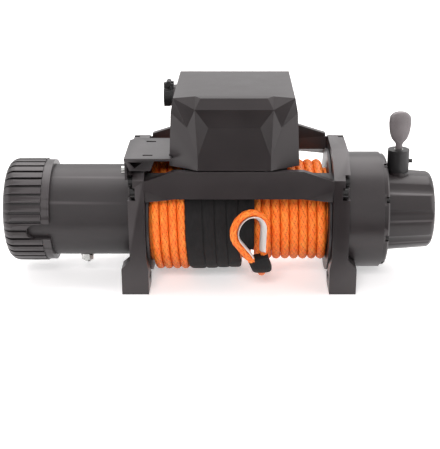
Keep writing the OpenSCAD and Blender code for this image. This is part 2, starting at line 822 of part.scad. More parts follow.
// Radius of the core under turns of radius r and thickness t, whose steps are chords
function under(r, t) = (r - t / 2) * cos(180 / wind_steps) - core_gap;
module rope_core() {
    in_r = drum_tube_d / 2;
    color("darkorange") lathe(0, [
        [-x_wind, in_r], [x_wind, in_r],
        [x_wind, under(right_r, rope_d)],
        [right_x0 - rope_d / 2, under(right_r, rope_d)],
        [right_x0 - rope_d / 2, under(sleeve_r0 - sleeve_step, sleeve_t)],
        [left_x1 + rope_d / 2, under(sleeve_r0 - sleeve_step, sleeve_t)],
        [left_x1 + rope_d / 2, under(left_r, rope_d)],
        [-x_wind, under(left_r, rope_d)]
    ]);
}
left_path = winding(left_x0, wind_pitch, left_r, 0, left_turns, wind_steps, rope_d);
right_path = winding(right_x0, right_pitch, right_r, 0, right_turns, wind_steps, rope_d);
sleeve_path = winding(sleeve_x0, sleeve_pitch, sleeve_r0, sleeve_step / sleeve_turns,
    sleeve_turns, wind_steps, sleeve_w / 2);
echo(left_gap = least_gap(left_path, rope_d, wind_steps / 2));
echo(right_gap = least_gap(right_path, rope_d, wind_steps / 2));
echo(sleeve_gap = least_gap(sleeve_path, sleeve_w, wind_steps / 2));
echo(cap_hinge = [hinge_x, socket_y, hinge_z], socket_mouth = socket_face_x - socket_nose);
module rope_winding_left() {
    color("orangered") tube(left_path, winding_ups(left_turns, wind_steps), rope_d / 2, rope_d / 2);
}
module rope_winding_right() {
    color("orangered") tube(right_path, winding_ups(right_turns, wind_steps), rope_d / 2, rope_d / 2);
}
module sleeve_winding() {
    color("black") tube(sleeve_path, winding_ups(sleeve_turns, wind_steps), sleeve_t / 2, sleeve_w / 2);
}

// Rope end: an eye round a thimble, a cuff over the splice and the tail under the drum
function lean(p) =
    let (side = p[0] * cos(eye_lean) - p[1] * sin(eye_lean))
    [eye_x + side * cos(eye_turn), eye_y + side * sin(eye_turn),
        axis_h + eye_rise + p[0] * sin(eye_lean) + p[1] * cos(eye_lean)];
function over_axis(route) = [for (p = route) p + [eye_x, 0, axis_h]];
function away(path) = [for (p = path) [0, p[1], p[2] - axis_h]];
eye_path = [for (p = concat(
    [[foot_x, -foot_l], [foot_x, leg_bend - foot_l], [eye_leg_x, -eye_l - leg_over]],
    [for (i = [0:eye_steps]) polar(groove_r, i / eye_steps * (180 + 2 * eye_tip) - eye_tip)],
    [[-eye_leg_x, -eye_l - leg_over], [-foot_x, leg_bend - foot_l], [-foot_x, -foot_l]])) lean(p)];
eye_front = [sin(eye_turn), -cos(eye_turn), 0];
tail_path = over_axis(tail_route);
cuff_path = concat([lean([0, -foot_l - cuff_gap]), lean([0, -foot_l - cuff_lead])],
    over_axis(cuff_route));
module rope_end() {
    color("orangered") {
        tube(eye_path, [for (p = eye_path) eye_front], eye_rope_d / 2, eye_rope_d / 2, 8);
        tube(tail_path, away(tail_path), rope_d / 2, rope_d / 2, 8);
    }
}
module thimble_outline(grow) {
    r = eye_round_r + grow;
    circle(r = r);
    polygon([
        polar(r, -eye_tip), polar(r, 180 + eye_tip),
        [-nose_r - grow, -eye_l], [nose_r + grow, -eye_l]
    ]);
}
module thimble() {
    color("gainsboro")
        translate([eye_x, eye_y, axis_h + eye_rise]) rotate([90, -eye_lean, eye_turn])
            translate([0, 0, -thimble_w / 2]) difference() {
                union() {
                    for (z = [0, thimble_w - thimble_t])
                        translate([0, 0, z]) linear_extrude(thimble_t)
                            thimble_outline(thimble_t + rim_h);
                    linear_extrude(thimble_w) thimble_outline(thimble_t);
                }
                translate([0, 0, -over]) linear_extrude(thimble_w + 2 * over)
                    thimble_outline(0);
            }
}
module rope_cuff() {
    color("black") tube(cuff_path, away(cuff_path), cuff_t / 2, cuff_w / 2, 10);
}

// Motor
module motor_tube() {
    color("dimgray") difference() {
        union() {
            along(x_cap - tube_tuck, motor_l + tube_tuck, motor_r);
            // pad of the three terminals, towards the rear
            block(terminal_x - terminal_pad, terminal_x + 2 * terminal_pitch + terminal_pad,
                motor_in_r * terminal_share, motor_r + terminal_rise,
                axis_h + terminal_z - terminal_pad, axis_h + terminal_z + terminal_pad);
        }
        along(x_cap - tube_tuck - over, motor_l + tube_tuck + 2 * over, motor_in_r);
        ground_place() translate([0, 0, -motor_wall - over])
            cylinder(h = motor_wall + 2 * over, r = ground_d / 2 + fit_gap);
        for (k = [0:2]) terminal_place(k) translate([0, 0, -stud_l * 2])
            cylinder(h = stud_l * 3, r = stud_d / 2 + fit_gap);
    }
}
// Turns local Z to the front and up by an angle, with local X kept
module on_front(angle) {
    translate([0, 0, axis_h]) rotate([90 - angle, 0, 0]) children();
}
module ground_place() {
    translate([ground_x, 0, axis_h]) rotate([180 - ground_angle, 0, 0])
        translate([0, 0, motor_r]) children();
}
module terminal_place(k) {
    translate([terminal_x + k * terminal_pitch, motor_r + terminal_rise, axis_h + terminal_z])
        rotate([-90, 0, 0]) children();
}
// A cup of radius r with a rounded closed end
module cap_form(r, round_r, length) {
    turned(x_cap_end) {
        square([r - round_r, length]);
        translate([0, round_r]) square([r, length - round_r]);
        translate([r - round_r, round_r]) circle(r = round_r);
    }
}
module motor_end_cap() {
    color("dimgray") difference() {
        union() {
            cap_form(cap_base_r, cap_round, cap_l);
            along(x_cap - rib_start, rib_start, cap_base_r + cap_step);
            // ribs that follow the rounding of the closed end
            intersection() {
                cap_form(cap_r_out, cap_round + rib_h, cap_l - rib_start);
                on_axle(x_cap_end, cap_l - rib_start)
                    for (k = [0:cap_ribs - 1]) rotate(360 / cap_ribs * k)
                        translate([cap_base_r - cap_round, -rib_w / 2])
                            square([cap_round + 2 * rib_h, rib_w]);
            }
        }
        along(x_cap_end + cap_wall, cap_l, motor_r + slip);
        // U-shaped cut-out that shows the tube
        on_front(cutout_angle) translate([x_cap - cutout_l + cutout_w / 2, 0, 0]) {
            cylinder(h = 2 * cap_r_out, r = cutout_w / 2);
            translate([0, -cutout_w / 2, 0]) cube([cap_l, cutout_w, 2 * cap_r_out]);
        }
    }
}
module motor_drive_plate() {
    color("gray") difference() {
        union() {
            along(-x_out - plate_t, plate_t, motor_in_r);
            along(-x_out - plate_t, plate_t + support_t * plate_spigot_share, journal_r);
        }
        along(-x_out - plate_t - over, 2 * support_t, motor_bearing_r);
        through_bolt_places() circle(r = through_r + fit_gap);
    }
}
module through_bolt_places() {
    on_axle(-x_out - motor_l - tube_tuck, motor_l + tube_tuck + over)
        for (a = [coil_pitch / 2, coil_pitch / 2 + 180])
            rotate(a) translate([motor_in_r - through_r - fit_gap, 0]) children();
}
module motor_brush_plate() {
    color("saddlebrown") difference() {
        along(x_brush - brush_plate_t, brush_plate_t, motor_in_r);
        along(x_brush - brush_plate_t - over, brush_plate_t + 2 * over, motor_bearing_r);
        through_bolt_places() circle(r = through_r + fit_gap);
    }
}
module motor_bearings() {
    color("silver") {
        pipe(-x_out - plate_t, plate_t, motor_bearing_r, motor_shaft_r + slip);
        pipe(x_brush - brush_plate_t, brush_plate_t, motor_bearing_r, motor_shaft_r + slip);
    }
}
module sector(r, angle) {
    polygon([[0, 0], polar(2 * r, -angle / 2), [2 * r, 0], polar(2 * r, angle / 2)]);
}
module ring_sectors(r_in, r_out, angle, start) {
    difference() {
        intersection() {
            circle(r = r_out);
            for (k = [0:3]) rotate(start + coil_pitch * k) sector(r_out, angle);
        }
        circle(r = r_in);
    }
}
module field_poles() {
    color("gray") on_axle(x_armature, armature_l)
        ring_sectors(pole_r, motor_in_r, pole_angle, 0);
}
module field_coils() {
    color("chocolate") on_axle(x_armature - coil_over / 2, armature_l + coil_over) difference() {
        ring_sectors(pole_r + air_gap, motor_in_r, coil_angle, coil_pitch / 2);
        for (a = [coil_pitch / 2, coil_pitch / 2 + 180])
            rotate(a) translate([motor_in_r - through_r - fit_gap, 0])
                circle(r = through_r + fit_gap);
    }
}
module brushes() {
    color("black") for (k = [0:3])
        on_axle(x_brush, commutator_l * brush_share) rotate(coil_pitch * k)
            translate([commutator_r + free_gap, -brush_w / 2]) square([brush_l, brush_w]);
}
module motor_terminals() {
    color("goldenrod") for (k = [0:2]) terminal_place(k) {
        translate([0, 0, -motor_wall]) cylinder(h = stud_l + motor_wall, r = stud_d / 2);
        translate([0, 0, stud_nut_h / 2]) difference() {
            cylinder(h = stud_nut_h, r = stud_d * nut_share, $fn = 6);
            translate([0, 0, -over]) cylinder(h = stud_nut_h + 2 * over, r = stud_d / 2 + slip);
        }
    }
}
module ground_terminal() {
    color("silver") ground_place() {
        translate([0, 0, -motor_wall]) cylinder(h = motor_wall + ground_l, r = ground_d / 2);
        difference() {
            cylinder(h = washer_t, r = washer_r);
            translate([0, 0, -over]) cylinder(h = washer_t + 2 * over, r = ground_d / 2 + slip);
        }
        translate([0, 0, washer_t]) difference() {
            cylinder(h = ground_nut_h, r = ground_d * nut_share, $fn = 6);
            translate([0, 0, -over]) cylinder(h = ground_nut_h + 2 * over, r = ground_d / 2 + slip);
        }
    }
}
module motor_through_bolts() {
    color("gray") on_axle(x_tail, x_through)
        for (a = [coil_pitch / 2, coil_pitch / 2 + 180])
            rotate(a) translate([motor_in_r - through_r - fit_gap, 0]) circle(r = through_r);
}
module armature_shaft() {
    color("silver") along(x_tail, x_shaft, motor_shaft_r);
}
module armature_core() {
    color("gray") on_axle(x_armature, armature_l) difference() {
        circle(r = armature_r);
        circle(r = motor_shaft_r);
        for (k = [0:armature_slots - 1]) rotate(360 / armature_slots * k)
            translate([armature_r - slot_depth, -armature_slot_w / 2])
                square([slot_depth + over, armature_slot_w]);
    }
}
module commutator() {
    color("peru") pipe(x_brush + side_gap, commutator_l, commutator_r, motor_shaft_r);
}

// Drive shaft and brake inside the drum
module hex_shaft() {
    color("silver") {
        on_axle(x_hex, x_gear1 + first_face_w - x_hex)
            circle(r = hex_r, $fn = 6);
        on_axle(x_gear1, first_face_w) rotate(90) gear_shape(sun_teeth, first_module);
    }
}
module brake_coupler() {
    color("gray") difference() {
        along(x_brake, coupler_l, coupler_r);
        along(x_brake - over, coupler_l / 2 + over, motor_shaft_r);
        on_axle(x_brake, coupler_l + over) circle(r = hex_r, $fn = 6);
    }
}
module brake_cone() {
    color("saddlebrown") difference() {
        lathe(x_brake + coupler_l, [
            [0, 0], [0, bore_r - free_gap - cone_fall],
            [cone_l, bore_r - free_gap], [cone_l * 2, bore_r - free_gap],
            [cone_l * 3, bore_r - free_gap - cone_fall], [cone_l * 3, 0]
        ]);
        on_axle(x_brake + coupler_l - over, cone_l * 3 + 2 * over)
            circle(r = hex_r, $fn = 6);
    }
}

// Gearbox
module gear_housing() {
    color("dimgray") difference() {
        along(x_out, housing_l, housing_r);
        along(x_out - over, housing_l + 2 * over, housing_in_r);
        for (k = [0:cover_screws - 1]) cover_screw_place(k)
            translate([0, 0, -cover_seat - cover_screw_l - over])
                cylinder(h = cover_screw_l + 2 * over, r = cover_screw_d / 2 + fit_gap);
    }
}
module ring_gear() {
    color("darkgray") on_axle(x_out, housing_l) difference() {
        circle(r = housing_in_r);
        ring_space(gear_module);
    }
}
module lock_ring_gear() {
    color("darkgray") difference() {
        on_axle(x_gear1 - side_gap, first_face_w + 2 * side_gap) difference() {
            circle(r = lock_ring_r);
            ring_space(first_module);
        }
        // notches that take the tip of the clutch plunger
        for (k = [0:lock_notches - 1]) translate([0, 0, axis_h])
            rotate([360 / lock_notches * k, 0, 0]) translate([clutch_x, 0, lock_ring_r - lock_notch_deep])
                cylinder(h = 2 * lock_notch_deep, r = plunger_tip_r + free_gap);
    }
}
module gear_end_cover() {
    color("dimgray") difference() {
        union() {
            along(x_flange, flange_t - flange_chamfer, flange_r);
            lathe(x_cover - flange_chamfer, [
                [0, 0], [0, flange_r], [flange_chamfer, flange_r - flange_chamfer],
                [flange_chamfer, 0]
            ]);
            lathe(x_cover, [
                [-flange_chamfer, 0], [-flange_chamfer, cover_r], [0, cover_r],
                each [for (i = [0:cover_round_steps])
                    [cover_l - cover_round, cover_end_r - cover_round]
                    + cover_round * [sin(90 * i / cover_round_steps), cos(90 * i / cover_round_steps)]],
                [cover_l, 0]
            ]);
            translate([clutch_x, 0, axis_h + cover_r - cover_wall])
                cylinder(h = cover_wall + collar_base_h, r = collar_base_d / 2);
        }
        along(x_flange - over, flange_t + cover_l - cover_wall + over, lock_ring_r);
        // bore and seat of the clutch collar
        translate([clutch_x, 0, axis_h + lock_ring_r - over]) {
            cylinder(h = cover_r, r = collar_in_r);
            translate([0, 0, collar_seat - axis_h - lock_ring_r + over])
                cylinder(h = cover_r, r = collar_d / 2);
        }
        for (k = [0:cover_screws - 1]) {
            cover_screw_place(k) {
                translate([0, 0, -flange_t - over])
                    cylinder(h = flange_t + 2 * over, r = cover_screw_d / 2 + fit_gap);
                translate([0, 0, -cover_seat]) {
                    cylinder(h = flange_t, r = cover_head_d / 2 + fit_gap);
                    translate([-cover_head_d / 2 - fit_gap, 0, 0])
                        cube([cover_head_d + 2 * fit_gap, cover_head_d, flange_t]);
                }
            }
            flute(k);
        }
    }
}
// One screw place on the flange, with local Y pointing outwards
module cover_screw_place(k) {
    translate([x_cover, 0, axis_h]) rotate([360 / cover_screws * k - screw_angle, 0, 0])
        translate([0, -screw_ring_r, 0]) rotate([180, 0, 0]) rotate([0, 90, 0]) children();
}
module flute(k) {
    a = screw_angle - 360 / cover_screws * (k + 1 / 2);
    translate([x_cover + flute_lead, 0, axis_h]) rotate([-a, 0, 0])
        translate([0, -cover_r - flute_r + flute_deep, 0]) rotate([0, 90, flute_tilt])
            cylinder(h = 2 * cover_l, r = flute_r);
}
module cover_screws_set() {
    color("silver") for (k = [0:cover_screws - 1]) cover_screw_place(k)
        translate([0, 0, -cover_seat])
            screw(cover_screw_d, cover_screw_l, cover_head_d, cover_head_h);
}
module output_carrier() {
    color("gray") {
        carrier(x_carrier3, gear_plate_r, arm_r, pin_r, third_face_w, hex_flats);
        pipe(x_drum - hub_l, x_carrier3 - x_drum + hub_l, bore_r, hex_flats);
    }
}
module second_carrier() {
    color("gray") {
        carrier(x_carrier2, gear_plate_r, arm_r, pin_r, second_face_w, hex_r + hex_gap);
        on_axle(x_gear3, third_face_w + side_gap) sun_shape(gear_module);
    }
}
module first_carrier() {
    color("gray") {
        carrier(x_carrier1, first_plate_r, first_arm_r, first_pin_r, first_face_w, hex_r + hex_gap);
        on_axle(x_gear2, x_carrier1 - x_gear2) sun_shape(gear_module);
    }
}
module third_planet_a() { planet(x_gear3, third_face_w, gear_module, arm_r, pin_r, 0); }
module third_planet_b() { planet(x_gear3, third_face_w, gear_module, arm_r, pin_r, 1); }
module third_planet_c() { planet(x_gear3, third_face_w, gear_module, arm_r, pin_r, 2); }
module second_planet_a() { planet(x_gear2, second_face_w, gear_module, arm_r, pin_r, 0); }
module second_planet_b() { planet(x_gear2, second_face_w, gear_module, arm_r, pin_r, 1); }
module second_planet_c() { planet(x_gear2, second_face_w, gear_module, arm_r, pin_r, 2); }
module first_planet_a() {
    planet(x_gear1, first_face_w, first_module, first_arm_r, first_pin_r, 0);
}
module first_planet_b() {
    planet(x_gear1, first_face_w, first_module, first_arm_r, first_pin_r, 1);
}
module first_planet_c() {
    planet(x_gear1, first_face_w, first_module, first_arm_r, first_pin_r, 2);
}

// Clutch
module clutch_collar() {
    color("dimgray") translate([clutch_x, 0, 0]) difference() {
        translate([0, 0, collar_seat]) cylinder(h = collar_top - collar_seat, r = collar_d / 2);
        translate([0, 0, collar_seat - over])
            cylinder(h = collar_top - collar_lid - collar_seat + over, r = collar_in_r);
        translate([0, 0, collar_seat])
            cylinder(h = collar_top, r = plunger_d / 2 + slip);
        // detent screw in the side, towards the end of the gearbox
        translate([0, 0, collar_top - set_screw_drop]) rotate([0, 90, 0])
            cylinder(h = collar_d, r = set_screw_d / 2 + fit_gap);
    }
    color("silver") translate([clutch_x + collar_in_r + free_gap, 0, collar_top - set_screw_drop])
        rotate([0, 90, 0]) difference() {
            cylinder(h = set_screw_l, r = set_screw_d / 2);
            translate([0, 0, set_screw_l / 2])
                cylinder(h = set_screw_l, r = set_screw_d / 4, $fn = 6);
        }
}
module clutch_plunger() {
    color("silver") translate([clutch_x, 0, 0]) {
        translate([0, 0, plunger_z]) cylinder(h = plunger_flange_z - plunger_z, r = plunger_tip_r);
        translate([0, 0, plunger_flange_z])
            cylinder(h = plunger_flange_h, r = collar_in_r - slip);
        translate([0, 0, plunger_flange_z])
            cylinder(h = collar_top + knob_gap - plunger_flange_z, r = plunger_d / 2);
        translate([0, 0, plunger_flange_z])
            cylinder(h = collar_top + knob_neck_h - plunger_flange_z, r = knob_neck_r / 2);
    }
}
module clutch_spring() {
    r = (collar_in_r + plunger_d / 2) / 2;
    z0 = plunger_flange_z + plunger_flange_h + spring_wire / 2 + core_gap;
    z1 = collar_top - collar_lid - spring_wire / 2 - core_gap;
    path = [for (i = [0:spring_turns * 12])
        [clutch_x + r * cos(30 * i), r * sin(30 * i), z0 + (z1 - z0) * i / spring_turns / 12]];
    color("silver") tube(path, [for (i = [0:spring_turns * 12]) [cos(30 * i), sin(30 * i), 0]],
        spring_wire / 2, spring_wire / 2);
}
module clutch_knob() {
    z0 = collar_top + knob_gap + free_gap;
    color("silver") difference() {
        union() {
            translate([clutch_x, 0, z0]) cylinder(h = knob_neck_h, r = knob_neck_r);
            // teardrop handle, wide at the top
            translate([clutch_x, 0, z0 + knob_neck_h * neck_share]) hull() {
                translate([0, 0, knob_h - knob_w / 2 - knob_neck_h * neck_share])
                    rotate([90, 0, 0])
                        cylinder(h = knob_t, r = knob_w / 2, center = true, $fn = 40);
                translate([0, 0, knob_h * belly_rise_share - knob_neck_h * neck_share])
                    rotate([90, 0, 0]) cylinder(h = knob_t, r = knob_w / 2 * belly_share,
                        center = true, $fn = 32);
                translate([0, 0, knob_t / 4]) rotate([90, 0, 0])
                    cylinder(h = knob_t * neck_share, r = knob_neck_r, center = true, $fn = 24);
            }
        }
        translate([clutch_x, 0, z0 - over])
            cylinder(h = knob_neck_h + over, r = knob_neck_r / 2 + slip);
    }
}

// Control box
function box_points(w, d, h) = [
    for (s = [-1, 1], p = half_shares) [s * w / 2 * p[0], d * p[1], h * p[2]]
];
// faces of the left half, by corner; the right half is their mirror image
half_faces = [
    [0, 8, 11], [0, 9, 8], [0, 1, 9], [1, 4, 10], [1, 2, 4], [1, 10, 9], [2, 3, 4],
    [4, 5, 6], [4, 6, 10], [9, 10, 6], [9, 6, 8], [8, 6, 7]
];
function across(i) = i + half_n;
module box_solid(w, d, h) {
    mid_faces = [
        [0, across(0), 2], [across(0), across(2), 2], [0, 2, 1],
        [across(0), across(1), across(2)], [2, across(2), 3], [across(2), across(3), 3],
        [3, across(3), 4], [across(3), across(4), 4], [4, across(4), 5],
        [across(4), across(5), 5], [5, across(5), 6], [across(5), across(6), 6],
        [6, across(6), 7], [across(6), across(7), 7],
        [7, across(7), 8], [across(7), across(8), 8],
        [8, across(8), 11], [across(8), across(11), 11],
        [11, across(11), 0], [across(11), across(0), 0]
    ];
    right = [for (f = half_faces) [across(f[0]), across(f[2]), across(f[1])]];
    polyhedron(points = box_points(w, d, h), faces = concat(half_faces, right, mid_faces));
}
module box_cover() {
    color("dimgray") difference() {
        union() {
            translate([box_x, box_y0, box_z]) box_solid(box_w, box_depth, box_h);
            translate([socket_x - pad_t, socket_y, socket_z]) rotate([0, 90, 0])
                cylinder(h = 2 * pad_t, r = pad_r);
        }
        translate([box_x, box_y0 + box_wall, box_z - over])
            box_solid(box_w - 2 * box_wall, box_depth - 2 * box_wall, box_h - box_wall + over);
        translate([socket_x - socket_l, socket_y, socket_z]) rotate([0, 90, 0])
            cylinder(h = 2 * socket_l, r = socket_r + fit_gap);
        // notch over the bracket
        block(box_x - box_w, box_x - box_w / 4, bracket_in_y - bracket_seat_gap,
            bracket_mid_y + bracket_seat_gap, box_z - over, base_z + bracket_seat_gap);
        // the back edge stands over the rear tie bar
        block(box_x - box_w, box_x + box_w, support_depth / 2 - bar_land - bracket_seat_gap,
            support_depth, box_z - over, bracket_z + rear_lip_h + bracket_seat_gap);
    }
}
module box_base() {
    color("gray") difference() {
        translate([0, 0, base_z]) linear_extrude(base_t) base_outline();
        box_screw_places() translate([0, 0, -over])
            cylinder(h = bracket_t + base_t + 2 * over, r = small_screw_d / 2 + fit_gap);
    }
}
module base_outline() {
    w = box_w / 2 - box_wall - base_inset;
    translate([box_x, box_y0 + box_depth / 2]) polygon([
        [-w, base_back], [w, base_back], [w, -base_front],
        [w - base_cut, -base_front - base_cut / 2],
        [base_cut - w, -base_front - base_cut / 2], [-w, -base_front]
    ]);
}
module box_screw_places() {
    for (sx = [-1, 1], y = [base_screw_y0, base_screw_y1])
        translate([box_x + sx * box_w / 4, y, bracket_z]) children();
}
// Bent sheet from the motor side support to the rear tie bar, with legs on the front one
module box_bracket() {
    x1 = box_x + bracket_reach;
    color("dimgray") difference() {
        union() {
            translate([0, 0, bracket_z]) linear_extrude(bracket_t) polygon([
                [bracket_x0, bracket_y0], [bracket_step_x + bracket_ear, bracket_y0],
                [bracket_step_x + bracket_ear, bracket_in_y - 2 * bracket_ear],
                [bracket_step_x, bracket_in_y - bracket_ear],
                [bracket_step_x, bracket_in_y], [x1, bracket_in_y], [x1, bracket_y1],
                [bracket_step_x + bracket_slot_l, bracket_y1],
                [bracket_step_x + bracket_slot_l, bracket_mid_y],
                each [for (i = [0:bracket_round_steps])
                    [bracket_x0 + bracket_round, bracket_mid_y - bracket_round]
                    + polar(bracket_round, 90 + 90 * i / bracket_round_steps)]
            ]);
            // front flange, which shows beside the box
            xz(bracket_y0, bracket_t) polygon([
                [bracket_x0, bracket_z + bracket_t],
                [bracket_x0 + bracket_front_l, bracket_z + bracket_t],
                [bracket_x0 + bracket_front_l - bracket_slot_l / 2, bracket_z - bracket_flange_h],
                [bracket_x0 + bracket_slot_l / 2, bracket_z - bracket_flange_h]
            ]);
            // side flange, which is screwed to the outer face of the support
            block(bracket_x0, -x_out, side_y0, side_y1, bracket_z - side_h, bracket_z + bracket_t);
            for (s = [-1, 1])
                block(s * leg_x - leg_w / 2, s * leg_x + leg_w / 2,
                    bracket_in_y, bracket_in_y + bracket_t,
                    bar_front_z + bar_end_h, bracket_z + bracket_t);
        }
        // triangular window in the flange
        xz(bracket_y0 - over, bracket_t + 2 * over) polygon([
            [bracket_x0 + 2 * bracket_t, bracket_z - bracket_t / 2],
            [bracket_x0 + bracket_front_l * 3 / 5, bracket_z - bracket_t / 2],
            [bracket_x0 + bracket_front_l / 3, bracket_z - bracket_flange_h + bracket_t]
        ]);
        for (y = [bracket_y0 + bracket_slot_l, bracket_mid_y - 3 / 2 * bracket_slot_l])
            block(slot_x0, slot_x0 + bracket_slot_l,
                y, y + bracket_slot_w, bracket_z - over, bracket_z + bracket_t + over);
        box_screw_places() translate([0, 0, -over])
            cylinder(h = bracket_t + 2 * over, r = small_screw_d / 2 + fit_gap);
        bracket_screw_places() translate([0, 0, -over])
            cylinder(h = bracket_t + 2 * over, r = small_screw_d / 2 + fit_gap);
    }
}
module bracket_screws() {
    color("silver") {
        bracket_screw_places() translate([0, 0, bracket_t])
            screw(small_screw_d, small_screw_l, small_head_d, small_head_h);
        box_screw_places() translate([0, 0, bracket_t + base_t])
            screw(small_screw_d, bracket_t + base_t + small_head_h, small_head_d, small_head_h);
    }
}
module contactor() {
    z0 = base_z + base_t;
    color("black") {
        block(contactor_x, contactor_x + contactor_w, contactor_y, contactor_y + contactor_l,
            z0, z0 + contactor_foot);
        block(contactor_x + contactor_foot, contactor_x + contactor_w - contactor_foot,
            contactor_y + contactor_foot, contactor_y + contactor_l - contactor_foot,
            z0, z0 + contactor_h - contactor_stud_h);
    }
    color("goldenrod") for (i = [1, 3], j = [1, 3])
        translate([contactor_x + contactor_w * i / 4, contactor_y + contactor_l * j / 4, 0]) {
            translate([0, 0, z0 + contactor_foot])
                cylinder(h = contactor_h - contactor_foot, r = stud_d / 2);
            translate([0, 0, z0 + contactor_h - contactor_stud_h])
                cylinder(h = bus_t * 2, r = stud_d * nut_share, $fn = 6);
        }
}
module receiver() {
    z0 = base_z + base_t;
    color("darkslategray") difference() {
        block(receiver_x, receiver_x + receiver_w, contactor_y, contactor_y + receiver_l,
            z0, z0 + receiver_h);
        // the lid's step
        block(receiver_x - over, receiver_x + receiver_round, contactor_y - over,
            contactor_y + receiver_l + over, z0 + receiver_h - receiver_round,
            z0 + receiver_h + over);
    }
}
module socket_at(x) {
    translate([x, socket_y, socket_z]) rotate([0, 90, 0]) children();
}
module remote_socket() {
    color("black") {
        difference() {
            union() {
                socket_at(socket_face_x) cylinder(h = socket_flange_t, r = socket_flange_r);
                socket_at(socket_face_x - socket_nose)
                    cylinder(h = socket_nose + socket_flange_t + pad_t + socket_l, r = socket_r);
            }
            socket_at(socket_face_x - socket_nose - over)
                cylinder(h = socket_deep + over, r = socket_r - socket_wall);
        }
        for (s = [-1, 1]) difference() {
            union() {
                hinge_bar(s * (hinge_l + hinge_lug_l) / 2 + s * free_gap, hinge_lug_l, hinge_r);
                translate([hinge_x, socket_y + s * (hinge_l / 2 + free_gap), socket_z]) {
                    y0 = s < 0 ? -hinge_lug_l : 0;
                    block(0, hinge_out + socket_flange_t, y0, y0 + hinge_lug_l,
                        hinge_rise - hinge_r, hinge_rise);
                    block(hinge_out, hinge_out + socket_flange_t, y0, y0 + hinge_lug_l,
                        socket_flange_r / 2, hinge_rise);
                }
            }
            hinge_bar(0, 2 * hinge_l, hinge_pin_r);
            socket_at(socket_face_x) cylinder(h = socket_flange_t, r = socket_flange_r);
        }
    }
    color("silver") {
        hinge_bar(0, hinge_l + 2 * hinge_lug_l + 2 * free_gap, hinge_pin_r);
        for (k = [0:socket_pins - 1]) socket_at(socket_face_x - socket_nose + socket_deep - pin_l)
            rotate(360 / socket_pins * k) translate([socket_r / 2, 0, 0])
                cylinder(h = pin_l + over, r = pin_d / 2);
    }
}
// A cylinder on the hinge of the socket cap, centred at y
module hinge_bar(y, length, r) {
    translate([hinge_x, socket_y + y - length / 2, hinge_z]) rotate([-90, 0, 0])
        cylinder(h = length, r = r);
}
module socket_cap() {
    x1 = socket_face_x - cap_gap;
    color("black") difference() {
        union() {
            socket_at(x1 - cap_h) cylinder(h = cap_h, r = cap_r - cap_tooth_h);
            socket_at(x1 - cap_h) linear_extrude(cap_h - cap_skin)
                for (k = [0:cap_teeth - 1]) rotate(360 / cap_teeth * k)
                    translate([cap_r / 2, -cap_tooth_w / 2]) square([cap_r / 2, cap_tooth_w]);
            hinge_bar(0, hinge_l, hinge_r);
            translate([x1, socket_y, socket_z])
                block(-cap_h, hinge_x - x1, -hinge_l / 2, hinge_l / 2,
                    cap_r - cap_skin, hinge_rise);
        }
        socket_at(x1 - cap_h + cap_skin)
            cylinder(h = cap_h + over, r = socket_r + cap_play);
        hinge_bar(0, 2 * hinge_l, hinge_pin_r + slip);
    }
}

support_motor_side();
support_gear_side();
tie_bar_front();
tie_bar_rear();
tie_bar_screws();
drum_bushings();
drum();
rope_core();
rope_winding_left();
rope_winding_right();
sleeve_winding();
rope_end();
thimble();
rope_cuff();
motor_tube();
motor_end_cap();
motor_drive_plate();
motor_brush_plate();
motor_bearings();
field_poles();
field_coils();
brushes();
motor_terminals();
ground_terminal();
motor_through_bolts();
armature_shaft();
armature_core();
commutator();
hex_shaft();
brake_coupler();
brake_cone();
gear_housing();
ring_gear();
lock_ring_gear();
gear_end_cover();
cover_screws_set();
output_carrier();
second_carrier();
first_carrier();
third_planet_a();
third_planet_b();
third_planet_c();
second_planet_a();
second_planet_b();
second_planet_c();
first_planet_a();
first_planet_b();
first_planet_c();
clutch_collar();
clutch_plunger();
clutch_spring();
clutch_knob();
box_cover();
box_base();
box_bracket();
bracket_screws();
contactor();
receiver();
remote_socket();
socket_cap();
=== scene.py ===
import json
import math

import bmesh
import bpy
import numpy as np
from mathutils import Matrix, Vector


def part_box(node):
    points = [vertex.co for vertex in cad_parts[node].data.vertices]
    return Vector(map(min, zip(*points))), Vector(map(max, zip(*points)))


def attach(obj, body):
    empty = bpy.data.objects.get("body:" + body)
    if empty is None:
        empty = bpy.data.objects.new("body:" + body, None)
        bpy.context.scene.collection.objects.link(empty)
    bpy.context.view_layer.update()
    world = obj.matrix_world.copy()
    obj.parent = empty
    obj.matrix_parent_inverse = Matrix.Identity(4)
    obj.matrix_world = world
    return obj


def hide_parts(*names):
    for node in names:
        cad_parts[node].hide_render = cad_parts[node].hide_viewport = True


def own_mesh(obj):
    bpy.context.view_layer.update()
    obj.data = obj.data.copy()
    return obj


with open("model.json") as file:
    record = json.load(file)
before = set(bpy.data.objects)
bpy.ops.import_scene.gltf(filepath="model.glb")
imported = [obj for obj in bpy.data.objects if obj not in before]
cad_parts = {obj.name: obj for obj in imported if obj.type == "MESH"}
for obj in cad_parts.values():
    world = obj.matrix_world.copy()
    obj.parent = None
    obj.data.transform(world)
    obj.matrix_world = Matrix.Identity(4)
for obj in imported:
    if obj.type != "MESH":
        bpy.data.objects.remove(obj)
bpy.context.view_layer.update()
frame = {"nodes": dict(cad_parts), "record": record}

MM = 0.001
